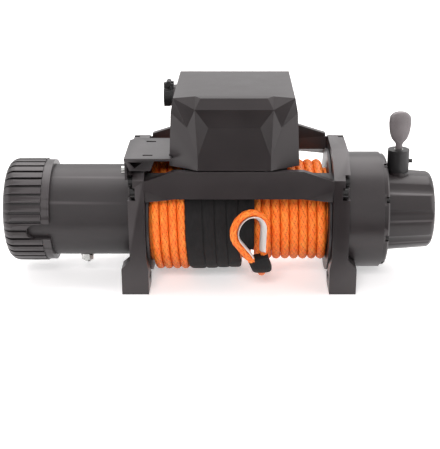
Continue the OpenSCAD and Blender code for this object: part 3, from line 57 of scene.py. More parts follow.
# driving sizes of the winch, in millimetres, as in its construction
AXIS_H, BOLT_SPAN, SUPPORT_INSET, DRUM_GAP, FLANGE_T = 83.0, 254.0, 14.3, 0.7, 3.0
X_WIND = BOLT_SPAN / 2 - SUPPORT_INSET - DRUM_GAP - FLANGE_T
ROPE_D, WIND_GAP, WIND_SIDE, LEFT_D, RIGHT_D = 10.0, 0.5, 0.4, 152.0, 127.0
LEFT_TURNS, RIGHT_TURNS, DRUM_D = 3.5, 7.5, 64.0
SLEEVE_W, SLEEVE_T, SLEEVE_GAP, SLEEVE_FALL, SLEEVE_TURNS = 13.8, 9.0, 0.6, 2.4, 4.3

# Camera and light


def look(location, pitch_down, lens, shift_x):
    """The camera stands at location in mm, looks along +Y and is tilted down by pitch_down degrees."""
    data = bpy.data.cameras.new("camera")
    data.lens, data.sensor_width, data.shift_x = lens, 36.0, shift_x
    data.clip_start, data.clip_end = 0.05, 20.0
    camera = bpy.data.objects.new("camera", data)
    camera.location = [v * MM for v in location]
    camera.rotation_euler = (math.radians(90 - pitch_down), 0, 0)
    bpy.context.collection.objects.link(camera)
    bpy.context.scene.camera = camera


look((0, -1268.6, 544.7), 20.85, 85.07, -0.0423)
bpy.context.scene.view_settings.view_transform = "Standard"


def softbox(name, place, size, power, mirrored=True):
    """A lamp of that size at place, in metres, turned towards the winch; mirrored says whether it shows in
    reflections."""
    data = bpy.data.lights.new(name, "AREA")
    data.shape, data.size, data.size_y, data.energy = "RECTANGLE", size[0], size[1], power
    data.color = (1.0, 0.955, 0.96)
    lamp = bpy.data.objects.new(name, data)
    lamp.location, lamp.visible_glossy = place, mirrored
    d = np.array([0, 0, 0.1]) - np.array(place)
    lamp.rotation_euler = (math.acos(-d[2] / np.linalg.norm(d)), 0, math.atan2(-d[0], d[1]))
    bpy.context.collection.objects.link(lamp)


softbox("overhead softbox", (-0.1, 0.7, 1.7), (2.6, 1.9), 38)
softbox("left softbox", (-2.3, -0.3, 1.2), (1.6, 1.2), 10)
softbox("right softbox", (2.3, -0.3, 1.2), (3.0, 2.2), 34)
softbox("front fill", (-0.3, -2.2, 1.7), (1.2, 0.8), 42, mirrored=False)

# Materials


def linear(code, alpha=1.0):
    """A colour written as sRGB hex, turned to linear light."""
    c = np.array([int(code[i:i + 2], 16) / 255 for i in (1, 3, 5)])
    c = np.where(c <= 0.04045, c / 12.92, ((c + 0.055) / 1.055) ** 2.4)
    return (*c.tolist(), alpha)


def add(tree, kind, settings=None, **inputs):
    """Adds a node; settings are its properties, inputs its sockets, by name or as i and a number, each a
    value or a socket to link."""
    n = tree.nodes.new(kind)
    for key, value in (settings or {}).items():
        setattr(n, key, value)
    for key, value in inputs.items():
        numbered = key[0] == "i" and key[1:].isdigit()
        socket = n.inputs[int(key[1:]) if numbered else key.replace("_", " ")]
        if isinstance(value, bpy.types.NodeSocket):
            tree.links.new(value, socket)
        else:
            socket.default_value = value
    return n


def material(name, **surface):
    """A new material with its own surface shader, whose uniform values are set on the shader's sockets."""
    m = bpy.data.materials.new(name)
    m.use_nodes = True
    shader = m.node_tree.nodes["Principled BSDF"]
    for key, value in surface.items():
        shader.inputs[key.replace("_", " ")].default_value = value
    return m, m.node_tree, shader


def finish(name, dark, light, grain_mm, rough, bump_mm, metallic=0.0, wear=None, streak=(1, 1, 1),
           painted_shade_mm=0):
    """A surface that varies between two colours over a grain of that size, with a bump of bump_mm and a
    roughness that follows the grain; wear is the colour that shows through along sharp edges. Hollows up to
    the given hollow size in mm across get painted shade: ambient occlusion darkens their colour towards
    black."""
    m, t, shader = material(name, Metallic=metallic)
    place = add(t, "ShaderNodeTexCoord").outputs["Object"]
    place = add(t, "ShaderNodeMapping", Vector=place, Scale=streak).outputs["Vector"]
    fine = add(t, "ShaderNodeTexNoise", Vector=place, Scale=1 / (grain_mm * MM), Detail=3.0).outputs["Fac"]
    broad = add(t, "ShaderNodeTexNoise", Vector=place, Scale=1 / (38 * MM), Detail=4.0).outputs["Fac"]
    scaled_sum, mix = {"operation": "MULTIPLY_ADD"}, {"data_type": "RGBA"}
    both = add(t, "ShaderNodeMath", scaled_sum, i0=fine, i1=0.55, i2=broad).outputs["Value"]
    amount = add(t, "ShaderNodeMapRange", Value=both, From_Min=0.45, From_Max=1.1).outputs["Result"]
    colour = add(t, "ShaderNodeMix", mix, i0=amount, i6=linear(dark), i7=linear(light)).outputs[2]
    if wear:
        edge = add(t, "ShaderNodeNewGeometry").outputs["Pointiness"]
        edge = add(t, "ShaderNodeMapRange", Value=edge, From_Min=0.53, From_Max=0.60, To_Max=0.35).outputs[0]
        colour = add(t, "ShaderNodeMix", mix, i0=edge, i6=colour, i7=linear(wear)).outputs[2]
    if painted_shade_mm:
        # painted shade: ambient occlusion darkens the colour towards near black in narrow hollows
        clear = add(t, "ShaderNodeAmbientOcclusion", {"samples": 6}, Distance=painted_shade_mm * MM).outputs["AO"]
        clear = add(t, "ShaderNodeMapRange", Value=clear, From_Min=0.4, From_Max=0.75).outputs["Result"]
        colour = add(t, "ShaderNodeMix", mix, i0=clear, i6=linear("#020202"), i7=colour).outputs[2]
    t.links.new(colour, shader.inputs["Base Color"])
    worn = add(t, "ShaderNodeMapRange", Value=amount, To_Min=rough[0], To_Max=rough[1]).outputs["Result"]
    t.links.new(worn, shader.inputs["Roughness"])
    bump = add(t, "ShaderNodeBump", Height=fine, Distance=bump_mm * MM, Strength=1.0)
    t.links.new(bump.outputs["Normal"], shader.inputs["Normal"])
    return m


# cast aluminium under a satin powder coat, whose fine orange peel softens every highlight; its hollows get
# painted shade
POWDER = finish("powder-coated aluminium", "#1c1718", "#251f20", 1.2, (0.30, 0.40), 0.035, wear="#6a6667",
                painted_shade_mm=4)
# steel tube under the same coat, a little smoother
TUBE = finish("powder-coated steel tube", "#1d191a", "#262223", 1.6, (0.40, 0.50), 0.02, wear="#6a6667")
SHEET = finish("powder-coated steel sheet", "#1e1b1c", "#272425", 1.2, (0.30, 0.40), 0.03, wear="#6a6667")
# moulded ABS with a spark-eroded grain, with painted shade in its hollows
ABS = finish("moulded ABS", "#1c1718", "#251f20", 0.9, (0.32, 0.42), 0.04, wear="#5c595a", painted_shade_mm=4)
KNOB = finish("glass-filled nylon", "#565152", "#757071", 0.8, (0.18, 0.28), 0.03)
BLACK = finish("black thermoplastic", "#131213", "#1b1a1b", 0.8, (0.38, 0.50), 0.03)
OXIDE = finish("black oxide steel", "#1d1c1c", "#2b2a2a", 0.5, (0.22, 0.32), 0.01, metallic=0.4)
ZINC = finish("zinc-plated steel", "#b4b4b0", "#d4d4d2", 0.6, (0.12, 0.22), 0.008, metallic=1.0)
# the turned drum has the same dark coat as the castings, with the marks of the turning round it
DRUM = finish("painted turned steel", "#242122", "#2e2b2c", 0.9, (0.34, 0.44), 0.015, streak=(8, 1, 1))
GEAR = finish("machined steel", "#72726f", "#9b9b98", 0.5, (0.25, 0.38), 0.008, metallic=1.0)
BRONZE = finish("sintered bronze", "#8a6231", "#b58a4c", 0.4, (0.32, 0.46), 0.02, metallic=1.0)
COPPER = finish("enamelled copper wire", "#7a3f20", "#b5683a", 0.6, (0.25, 0.40), 0.05, 0.8, streak=(1, 6, 6))
IRON = finish("stamped lamination steel", "#3d3d3e", "#555556", 0.5, (0.35, 0.50), 0.03, 0.8,
              streak=(12, 1, 1))
CARBON = finish("pressed carbon", "#1a1a1b", "#2a2a2b", 0.4, (0.45, 0.60), 0.02)
LINING = finish("brake lining", "#4a3628", "#6b4f3a", 0.7, (0.70, 0.85), 0.08)
BOARD = finish("phenolic board", "#4e3420", "#6a4a30", 0.5, (0.35, 0.50), 0.01)
# hot-dip zinc on the rolled thimble
THIMBLE = finish("galvanised steel", "#cfcbc8", "#efebe8", 1.4, (0.25, 0.38), 0.02, metallic=0.35)


def wound(name, dark, light, groove, thread_mm, rough, sheen, bump_mm):
    """A cloth or rope surface on the piece's own UV map in metres: threads run along it, slanted by the
    attribute lean, and the attribute depth, 0 on a ridge and 1 in a groove, darkens it towards the groove
    colour as painted shade."""
    m, t, shader = material(name, Roughness=rough, Sheen_Weight=sheen, Sheen_Roughness=0.5, IOR=1.45)
    shader.inputs["Sheen Tint"].default_value = linear(light)
    uv = add(t, "ShaderNodeUVMap", {"uv_map": "along"}).outputs["UV"]
    lean = add(t, "ShaderNodeAttribute", {"attribute_name": "lean"}).outputs["Fac"]
    depth = add(t, "ShaderNodeAttribute", {"attribute_name": "depth"}).outputs["Fac"]
    split = add(t, "ShaderNodeSeparateXYZ", Vector=uv).outputs
    scaled_sum, mix = {"operation": "MULTIPLY_ADD"}, {"data_type": "RGBA"}
    across = add(t, "ShaderNodeMath", scaled_sum, i0=split["X"], i1=lean, i2=split["Y"]).outputs["Value"]
    turned = add(t, "ShaderNodeCombineXYZ", X=split["X"], Y=across).outputs["Vector"]
    turned = add(t, "ShaderNodeMapping", Vector=turned, Scale=(0.09, 1, 1)).outputs["Vector"]
    fineness = 1 / (thread_mm * MM)
    thread = add(t, "ShaderNodeTexNoise", Vector=turned, Scale=fineness, Detail=2.0).outputs["Fac"]
    patch = add(t, "ShaderNodeTexNoise", Vector=uv, Scale=1 / (9 * MM), Detail=3.0).outputs["Fac"]
    both = add(t, "ShaderNodeMath", scaled_sum, i0=patch, i1=0.5, i2=thread).outputs["Value"]
    amount = add(t, "ShaderNodeMapRange", Value=both, From_Min=0.58, From_Max=0.92).outputs["Result"]
    colour = add(t, "ShaderNodeMix", mix, i0=amount, i6=linear(dark), i7=linear(light)).outputs[2]
    # painted shade: the colour darkens towards the groove colour where depth is high, between strands, turns
    # and folds
    colour = add(t, "ShaderNodeMix", mix, i0=depth, i6=colour, i7=linear(groove)).outputs[2]
    t.links.new(colour, shader.inputs["Base Color"])
    bump = add(t, "ShaderNodeBump", Height=thread, Distance=bump_mm * MM, Strength=1.0)
    t.links.new(bump.outputs["Normal"], shader.inputs["Normal"])
    return m


# polyethylene fibre rope, whose waxy yarns shine along the strands; yarns drawn 0.7 mm wide so that they
# show;
# the third colour is painted shade in the grooves
ROPE = wound("braided polyethylene rope", "#ff5a08", "#ffa040", "#8a2402", 0.7, 0.50, 0.04, 0.12)
# woven nylon sleeve over the rope, dull, with the threads drawn 0.8 mm wide; the third colour is painted
# shade in its low folds
SLEEVE = wound("woven nylon sleeve", "#0b0a0b", "#161415", "#030303", 0.8, 0.80, 0.05, 0.10)

# Making pieces

NODES = frame["nodes"]
BODY_OF = {node: body for body, nodes in frame["record"]["behaviour"]["bodies"].items() for node in nodes}
SLOT_OF = {part["node"]: part.get("material_slot") for part in frame["record"]["subparts"]}


def placed(name, mesh):
    """A smooth-shaded object of a mesh, at the origin."""
    mesh.polygons.foreach_set("use_smooth", np.ones(len(mesh.polygons), bool))
    obj = bpy.data.objects.new(name, mesh)
    bpy.context.collection.objects.link(obj)
    return obj


def mesh_of(name, points, *faces):
    """An object from an array of points in mm and one or more arrays of faces."""
    mesh = bpy.data.meshes.new(name)
    listed = [face for group in faces for face in np.asarray(group).tolist()]
    mesh.from_pydata((np.asarray(points) * MM).tolist(), [], listed)
    return placed(name, mesh)


def merged(name, node, join_flat):
    """A mesh of a CAD node's shape with its doubled points merged and, if join_flat, its flat areas
    joined."""
    mesh = bpy.data.meshes.new(name)
    bm = bmesh.new()
    bm.from_mesh(NODES[node].data)
    bmesh.ops.remove_doubles(bm, verts=bm.verts, dist=2e-6)
    if join_flat:
        bmesh.ops.dissolve_limit(bm, angle_limit=math.radians(1.0), verts=bm.verts, edges=bm.edges)
    bm.to_mesh(mesh)
    bm.free()
    return mesh


def dress(obj, surface, node):
    """Gives a piece its surface and lets it stand for its CAD node, on that node's body."""
    obj.data.materials.clear()
    obj.data.materials.append(surface)
    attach(obj, BODY_OF[node])
    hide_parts(node)
    return obj


def shifted(places, bends):
    """The places, each moved with the triangle it lies on: by the shifts of its corners, shared out in
    proportion along the triangle."""
    moved = places.copy()
    for corners, shifts in bends:
        a, b = corners[1] - corners[0], corners[2] - corners[0]
        n = np.cross(a, b)
        u, v, off = np.linalg.solve(np.stack([a, b, n / np.linalg.norm(n)], 1), (places - corners[0]).T)
        on = (u > -0.004) & (v > -0.004) & (u + v < 1.004) & (abs(off) < 0.2)
        share = np.stack([1 - u - v, u, v], 1)[on]
        moved[on] = places[on] + share @ shifts
    return moved


def softened(node, surface, width, sharp=32, segments=2, bends=()):
    """A copy of a CAD node with every edge over sharp degrees rounded to width mm; bends are triangles in
    mm, with a shift for each corner, on which the copy stands a little off the solid."""
    mesh = merged(node + "_finished", node, True)
    places = np.empty(3 * len(mesh.vertices), np.float32)
    mesh.vertices.foreach_get("co", places)
    places = shifted(places.reshape(-1, 3) / MM, bends) * MM
    mesh.vertices.foreach_set("co", places.astype(np.float32).ravel())
    mesh.update()
    obj = placed(node + "_finished", mesh)
    bevel = obj.modifiers.new("edge", "BEVEL")
    bevel.width, bevel.segments, bevel.limit_method = width * MM, segments, "ANGLE"
    bevel.angle_limit, bevel.use_clamp_overlap, bevel.harden_normals = math.radians(sharp), True, False
    normals = obj.modifiers.new("normals", "WEIGHTED_NORMAL")
    normals.keep_sharp, normals.weight = True, 60
    return dress(obj, surface, node)


def smooth_path(points, step):
    """Points about step mm apart on the Catmull-Rom curve through the given ones: cubics whose slope at a
    point is half the way between its neighbours."""
    p = np.asarray(points, float)
    p = np.vstack([2 * p[0] - p[1], p, 2 * p[-1] - p[-2]])
    out = []
    for a, b, c, d in zip(p[:-3], p[1:-2], p[2:-1], p[3:]):
        n = max(2, int(np.ceil(np.linalg.norm(c - b) / step)))
        t = (np.arange(n) / n)[:, None]
        curve = 2 * b + (c - a) * t + (2 * a - 5 * b + 4 * c - d) * t**2 + (3 * b - a - 3 * c + d) * t**3
        out.append(curve / 2)
    return np.vstack(out + [p[-2:-1]])


def unit(v):
    """The vectors, each divided by its length."""
    return v / np.linalg.norm(v, axis=-1, keepdims=True)


def rounds(count):
    """That many angles, evenly spread over one round."""
    return np.arange(count) * 2 * np.pi / count


def bulged(values, power):
    """Sines or cosines, each raised to the power with its sign kept, which squares a circle if it is under
    1."""
    return np.sign(values) * np.abs(values) ** power


def grid_faces(rows, cols):
    """Quads of a tube whose points lie ring after ring."""
    i, j = np.meshgrid(np.arange(rows - 1), np.arange(cols), indexing="ij")
    a, b = i * cols + j, i * cols + (j + 1) % cols
    return np.stack([a, b, b + cols, a + cols], -1).reshape(-1, 4)


def end_fans(rows, cols):
    """Triangles that close both ends of such a tube on the two points that follow it."""
    ring, last = np.arange(cols), (rows - 1) * cols
    after = (ring + 1) % cols
    first = np.stack([ring, after, np.full(cols, rows * cols)], 1)
    return np.vstack([first, np.stack([after + last, ring + last, np.full(cols, rows * cols + 1)], 1)])


def braid(s, angle, radius, lay):
    """Twelve strands, six each way: a and b count them along both helices, and where their whole parts add
    up to an even number the first lies on top; it returns the height, the groove depth and the lean of the
    yarns."""
    a, b = 6 * angle / (2 * np.pi) + s / lay, 6 * angle / (2 * np.pi) - s / lay
    first = (np.floor(a) + np.floor(b)) % 2 == 0
    on, cross = np.where(first, a, b), np.where(first, b, a)
    ridge = np.abs(np.sin(np.pi * on)) ** 0.6 * (0.45 + 0.55 * np.abs(np.sin(np.pi * cross)) ** 0.8)
    slope = 2 * np.pi * radius / (6 * lay)
    # the groove depth darkens the rope between the strands in its material: painted shade
    return ridge, np.clip(1 - ridge * 1.6, 0, 1) ** 1.5, np.where(first, slope, -slope)


def weave(s, angle, radius, lay):
    """A flat tubular weave: only low folds across the sleeve, as the sum of three sines along and round
    it."""
    fold = 0.5 + 0.2 * np.sin(s / 7.3 + 2 * angle) + 0.17 * np.sin(s / 3.1 - angle) + 0.13 * np.sin(s / 17.0)
    # the second value darkens the lowest folds in the sleeve's material: painted shade
    return fold, np.clip(0.35 - fold * 0.5, 0, 1), np.zeros_like(fold)


def laid(name, path, ups, ru, rv, pattern, lay=11.8, relief=0.9, around=28, square=1.0):
    """A tube along path: at a distance and angle the point is path + ru cos(angle) up + rv sin(angle) side,
    pulled in by the relief of the pattern; square under 1 flattens its sides. Its ends are closed."""
    path, ups = np.asarray(path, float), np.asarray(ups, float)
    along = unit(np.gradient(path, axis=0))
    up = unit(ups - (ups * along).sum(1, keepdims=True) * along)
    side = np.cross(along, up)
    s = np.concatenate([[0], np.cumsum(np.linalg.norm(np.diff(path, axis=0), axis=1))])
    S, A = np.meshgrid(s, rounds(around), indexing="ij")
    height, depth, lean = pattern(S, A, (ru + rv) / 2, lay)
    k = relief * (1 - height)
    upward, sideways = (ru - k) * bulged(np.cos(A), square), (rv - k) * bulged(np.sin(A), square)
    points = path[:, None] + upward[..., None] * up[:, None] + sideways[..., None] * side[:, None]
    points = np.vstack([points.reshape(-1, 3), path[:1], path[-1:]])
    obj = mesh_of(name, points, grid_faces(len(path), around)[:, ::-1], end_fans(len(path), around))
    girth = float(np.mean(ru + rv)) / 2
    lay_map(obj, S, A * girth, depth, lean, (0, 2 * np.pi * girth))
    return obj


def lay_map(obj, along, across, depth, lean, turn):
    """Writes the UV map along from two coordinates in mm, and the attributes depth and lean, with 0 at the
    points that close the ends; turn is what each coordinate gains in one round, which the seam's far side
    is given, or 0 for one that doesn't run round."""
    mesh = obj.data
    index, total = np.empty(len(mesh.loops), int), np.empty(len(mesh.polygons), int)
    mesh.loops.foreach_get("vertex_index", index)
    mesh.polygons.foreach_get("loop_total", total)
    spare = np.zeros(len(mesh.vertices) - depth.size)
    uv = np.stack([np.concatenate([v.ravel(), spare]) for v in (along, across)], 1)[index]
    four = np.repeat(total == 4, total)
    quads = uv[four].reshape(-1, 4, 2)
    for k in (0, 1):
        if turn[k]:
            v = quads[:, :, k]
            quads[:, :, k] = np.where(v.max(1, keepdims=True) - v > turn[k] / 2, v + turn[k], v)
    uv[four] = quads.reshape(-1, 2)
    mesh.uv_layers.new(name="along").data.foreach_set("uv", (uv * MM).ravel())
    for name, value in (("depth", depth), ("lean", lean)):
        stored = mesh.attributes.new(name, "FLOAT", "POINT")
        stored.data.foreach_set("value", np.concatenate([value.ravel(), spare]))


def winding(x0, pitch, r0, fall, turns, tail, step):
    """The winding's centre line: after a turns it is at x0 + pitch a, at radius r0 - fall a from the drum's
    axis, with a straight tail at both ends; also its outward directions."""
    a = np.linspace(0, turns, int(turns * 2 * np.pi * r0 / step))
    r, w = r0 - fall * a, 2 * np.pi * a
    p = np.stack([x0 + pitch * a, -r * np.sin(w), AXIS_H + r * np.cos(w)], 1)
    u = np.stack([0 * a, -np.sin(w), np.cos(w)], 1)
    t = np.linspace(0, tail, 8)[1:, None]
    first, last = unit(p[0] - p[1]), unit(p[-1] - p[-2])
    p = np.vstack([(p[0] + first * t)[::-1], p, p[-1] + last * t])
    return p, np.vstack([np.repeat(u[:1], 7, 0), u, np.repeat(u[-1:], 7, 0)])


# Rope on the drum

left_x0 = -X_WIND + ROPE_D / 2 + WIND_SIDE
left_x1 = left_x0 + LEFT_TURNS * (ROPE_D + WIND_GAP)
sleeve_x0 = left_x1 + ROPE_D / 2 + SLEEVE_W / 2 + WIND_SIDE
sleeve_x1 = sleeve_x0 + SLEEVE_TURNS * (SLEEVE_W + SLEEVE_GAP)
right_x0 = sleeve_x1 + SLEEVE_W / 2 + ROPE_D / 2 + WIND_SIDE
right_pitch = (X_WIND - ROPE_D / 2 - WIND_SIDE - right_x0) / RIGHT_TURNS

line, out = winding(left_x0, ROPE_D + WIND_GAP, (LEFT_D - ROPE_D) / 2, 0, LEFT_TURNS, ROPE_D, 1.25)
dress(laid("rope_turns_left", line, out, 5.0, 5.3, braid), ROPE, "rope_winding_left")
line, out = winding(right_x0, right_pitch, (RIGHT_D - ROPE_D) / 2, 0, RIGHT_TURNS, ROPE_D, 1.35)
dress(laid("rope_turns_right", line, out, 5.0, 5.65, braid, around=26), ROPE, "rope_winding_right")
line, out = winding(sleeve_x0, SLEEVE_W + SLEEVE_GAP, (LEFT_D - SLEEVE_T) / 2, SLEEVE_FALL / SLEEVE_TURNS,
                    SLEEVE_TURNS, 6, 1.8)
# the first turn of the cloth is spread to the left, up to the rope, and the last one to the right
turn_at = np.linspace(0, SLEEVE_TURNS, len(line))[:, None]
spread_left = 3.3 * np.exp(-((turn_at - 0.3) / 0.3) ** 2)
spread_right = 3.0 * np.exp(-((turn_at - SLEEVE_TURNS + 0.25) / 0.3) ** 2)
line = line + (spread_right - spread_left) * [1, 0, 0]
half_width = 7.95 + spread_left + spread_right
sleeve = laid("sleeve_turns", line, out, 4.6, half_width, weave, relief=0.5, square=0.5)
dress(sleeve, SLEEVE, "sleeve_winding")


def layers(around=132):
    """The rope's lower layers as one surface round the axis: the radius is that of the core in each of its
    three parts, less a circle's arc between the turns, which run round as a helix with the pitch of the
    rope."""
    edges = (-X_WIND, left_x1 + ROPE_D / 2, right_x0 - ROPE_D / 2, X_WIND)
    # the radius under each part's outer turns, whose solids have 24 straight steps a round
    under = np.array([LEFT_D / 2 - ROPE_D, LEFT_D / 2 - SLEEVE_FALL - SLEEVE_T, RIGHT_D / 2 - ROPE_D])
    under = under * math.cos(math.pi / 24) - 0.3
    spans = [np.linspace(x0, x1, int((x1 - x0) / 0.9)) for x0, x1 in zip(edges, edges[1:])]
    x = np.concatenate([[-X_WIND], *spans, [X_WIND]])
    bore = [DRUM_D / 2]
    r = np.concatenate([bore, *(np.full(len(span), outer) for span, outer in zip(spans, under)), bore])
    X, A = np.meshgrid(x, rounds(around), indexing="ij")
    across = (X / (ROPE_D + WIND_GAP) - A / (2 * np.pi)) % 1 * 2 - 1
    bow = np.sqrt(np.clip(1 - across ** 2, 0, 1))
    R = np.where(r[:, None] > DRUM_D / 2, r[:, None] - 3 * (1 - bow), DRUM_D / 2)
    points = np.stack([X, -R * np.sin(A), AXIS_H + R * np.cos(A)], -1).reshape(-1, 3)
    # the row after the last is the first again, so the ring closes both ways
    obj = mesh_of("rope_layers", points, grid_faces(len(x) + 1, around) % X.size)
    lay_r = 45
    # the depth darkens the rope between the turns in its material: painted shade
    lay_map(obj, lay_r * A, across * ROPE_D, (1 - bow) ** 2, 0.4 * np.sign(across), (2 * np.pi * lay_r, 0))
    return obj


dress(layers(), ROPE, "rope_core")

# Rope end

LEAN, TURN = math.radians(17), math.radians(28)
THIMBLE_W, THIMBLE_T, ROUND_R, LEG_L, NOSE, EYE_ROPE = 15.0, 1.5, 15.6, 29.0, 6.0, 9.4
TIP = math.asin(ROUND_R / math.hypot(NOSE, LEG_L)) - math.atan(NOSE / LEG_L)
GROOVE_R = ROUND_R + THIMBLE_T + 0.3 + EYE_ROPE / 2
EYE_X, EYE_RISE, FREE_GAP, EYE_GAP = sleeve_x1 + 5.6, 2.8, 0.35, 1.0
eye_side = (sleeve_x1 + SLEEVE_W / 2 - EYE_X + THIMBLE_W / 2 * math.sin(TURN)) / math.cos(TURN)
eye_depth = LEFT_D / 2 + FREE_GAP - SLEEVE_FALL + EYE_GAP
eye_depth += THIMBLE_W / 2 * math.cos(TURN) + eye_side * math.sin(TURN)
EYE = np.array([EYE_X, -eye_depth, AXIS_H + EYE_RISE])
EYE_FRONT = np.array([math.sin(TURN), -math.cos(TURN), 0])


def leaned(points):
    """Points of the eye's own plane, turned by its lean, then turned to the side and put at its place."""
    q = np.asarray(points, float)
    across = q[:, 0] * math.cos(LEAN) - q[:, 1] * math.sin(LEAN)
    up = q[:, 0] * math.sin(LEAN) + q[:, 1] * math.cos(LEAN)
    return EYE + np.stack([across * math.cos(TURN), across * math.sin(TURN), up], 1)


def teardrop(radius, feet, steps=18):
    """The outline of the eye: an arc of that radius over 180 degrees and twice the tip, and on each side
    straight legs through the feet, given as (x, y) of the right side from the top down."""
    a = np.linspace(-TIP, math.pi + TIP, steps + 1)
    arc = np.stack([radius * np.cos(a), radius * np.sin(a)], 1)
    feet = np.asarray(feet, float)
    return np.vstack([feet[::-1], arc, feet * [-1, 1]])


def leg(y, offset):
    """Half width of the eye at y below its centre, for a line that lies offset outside the thimble's inner
    face."""
    return NOSE + offset / math.cos(TIP) - (y - LEG_L) * math.tan(TIP)


def from_axis(path):
    """The directions away from the drum's axis along a path."""
    return path * [0, 1, 1] - [0, 0, AXIS_H]


groove = GROOVE_R - ROUND_R
eye_feet = [(leg(20, groove), -20), (leg(LEG_L, groove), -LEG_L), (leg(32, groove), -32), (9.3, -36),
            (9.3, -39.5)]
line = smooth_path(leaned(teardrop(GROOVE_R, eye_feet)), 1.0)
eye = laid("rope_eye", line, np.tile(EYE_FRONT, (len(line), 1)), 4.7, 4.7, braid, around=30)
dress(eye, ROPE, "rope_end")
# the rope's route under the drum: X past the eye, Y and height over the axis
TAIL = np.array([(14.6, -71.2, -50.8), (15, -65.7, -56.8), (15, -55, -63.5), (15, -42, -67.5), (15, -28, -68),
                 (14, -14, -68.6), (13, 0, -68.85)]) + [EYE_X, 0, AXIS_H]
tail_path = smooth_path(TAIL, 1.0)
tail = laid("rope_tail", tail_path, from_axis(tail_path), 5.0, 5.0, braid, around=30)
dress(tail, ROPE, "rope_end")


def swept(name, path, profile):
    """A closed profile of (outward, forward) offsets in mm carried along a path that lies in the eye's
    plane, with both ends closed by a strip across the profile."""
    along = unit(np.gradient(path, axis=0))
    side = np.tile(EYE_FRONT, (len(path), 1))
    away = unit(np.cross(along, side))
    points = path[:, None] + profile[None, :, :1] * away[:, None] + profile[None, :, 1:] * side[:, None]
    n, m = len(path), len(profile)
    half = np.arange(m // 2 - 1)
    strip = np.stack([half, half + 1, m - 2 - half, m - 1 - half], 1)
    ends = [strip, strip[:, ::-1] + (n - 1) * m]
    return mesh_of(name, points.reshape(-1, 3), grid_faces(n, m)[:, ::-1], *ends)


def gutter(half, rim, wall, n=26):
    """The closed section of a rolled channel, open outwards: its two sides are arcs with the depth rim (y /
    half)^2 that lie a wall apart, and meet in rounded rims."""
    y = np.sin(np.linspace(-math.pi / 2, math.pi / 2, n)) * half
    bowl = rim * (y / half) ** 2
    thick = wall * np.sqrt(np.clip(1 - (y / half) ** 8, 0, 1))
    return np.concatenate([np.stack([bowl + thick, y], 1), np.stack([bowl, y], 1)[::-1]])


thimble_feet = [(leg(15, 0), -15), (leg(26, 0), -26), (NOSE - 0.6, -LEG_L - 3.5)]
line = smooth_path(leaned(teardrop(ROUND_R, thimble_feet, 40)), 0.8)
thimble = swept("rope_thimble", line, gutter(THIMBLE_W / 2, 3.4, THIMBLE_T))
dress(thimble, THIMBLE, "thimble")

# the cuff's route: two points on the line of the eye and the rest of the construction's
CUFF = np.vstack([leaned([(0, -37.8), (0, -41.5)]), (EYE_X + 13.5, -77.5, AXIS_H - 44),
                  (EYE_X + 14.5, -72, AXIS_H - 50)])
line = smooth_path(CUFF, 1.0)
cuff = laid("splice_cuff", line, from_axis(line), 7.9, 13.0, weave, relief=1.3, around=36, square=0.6)
dress(cuff, SLEEVE, "rope_cuff")

# Clutch


def knob(rows=64, around=48):
    """A tulip-shaped handle: half width and half depth follow the height in straight steps through a few
    chosen rings, and each ring is a superellipse."""
    low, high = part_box("clutch_knob")
    centre, z0, h = (low[0] + high[0]) / 2 / MM, low[2] / MM, (high[2] - low[2]) / MM
    share = np.array([0, 0.13, 0.17, 0.21, 0.27, 0.34, 0.45, 0.55, 0.66, 0.78, 0.86, 0.93, 0.975, 1.0])
    wide = np.array([4.4, 4.4, 5.2, 7.2, 9.4, 11.0, 12.5, 13.2, 13.7, 13.6, 12.8, 10.2, 6.4, 0.2])
    deep = np.array([4.4, 4.4, 4.8, 5.4, 6.0, 6.2, 6.4, 6.5, 6.5, 6.5, 6.4, 5.9, 4.6, 0.2])
    T, A = np.meshgrid(np.linspace(0, 1, rows), rounds(around), indexing="ij")
    x = centre + np.interp(T, share, wide) * bulged(np.cos(A), 0.75)
    y = np.interp(T, share, deep) * bulged(np.sin(A), 0.75)
    points = np.stack([x, y, z0 + h * T], -1).reshape(-1, 3)
    points = np.vstack([points, [[centre, 0, z0], [centre, 0, z0 + h]]])
    return mesh_of("clutch_handle", points, grid_faces(rows, around), end_fans(rows, around)[:, ::-1])


dress(knob(), KNOB, "clutch_knob")

# the clutch spring as a zinc-plated copy on a mesh of its own; in the winch it is pressed together as the
# plunger lifts by 9 mm
coils = bpy.data.objects.new("spring_coils", merged("spring_coils", "clutch_spring", False))
bpy.context.collection.objects.link(coils)
dress(coils, ZINC, "clutch_spring")
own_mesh(coils)

# Carried-over castings and mouldings

# the cover: centre, foremost point and foot, its size and wall, and its corners as shares of the half width,
# depth and height, each with the shift in mm that sharpens the facets
COVER_X, COVER_Y, COVER_Z, COVER_SIZE, COVER_WALL = -5.5, -86.0, AXIS_H + 77, (154, 140, 88.5), 3.0
COVER_CORNERS = np.array((
    ((0.890, 1.000, 1.000), (0, 0, 0)), ((0.944, 0.042, 1.000), (-2.4, -1.4, -1.1)),
    ((0.588, 0.116, 1.000), (0, -3.2, -1.0)), ((0.502, 0.011, 1.000), (0, 6.2, -2.2)),
    ((0.592, 0.000, 0.850), (-0.2, 0, -0.6)), ((0.392, 0.057, 0.577), (0, 0, 0)),
    ((0.547, 0.028, 0.240), (0.9, -0.2, -5.4)), ((0.549, 0.007, 0.000), (0.7, 3.4, 0)),
    ((0.976, 0.171, 0.000), (2.4, 1.1, 0)), ((0.930, 0.135, 0.735), (2.6, -1.4, 2.0)),
    ((0.701, 0.063, 0.567), (1.0, -0.4, 0.8)), ((1.000, 1.000, 0.000), (0, 0, 0)),
))
# faces of one half by corner, and the row of corners along its open edge
COVER_FACES = ((0, 8, 11), (0, 9, 8), (0, 1, 9), (1, 4, 10), (1, 2, 4), (1, 10, 9), (2, 3, 4), (4, 5, 6),
               (4, 6, 10), (9, 10, 6), (9, 6, 8), (8, 6, 7), (0, 2, 1))
COVER_EDGE = (0, 2, 3, 4, 5, 6, 7, 8, 11)


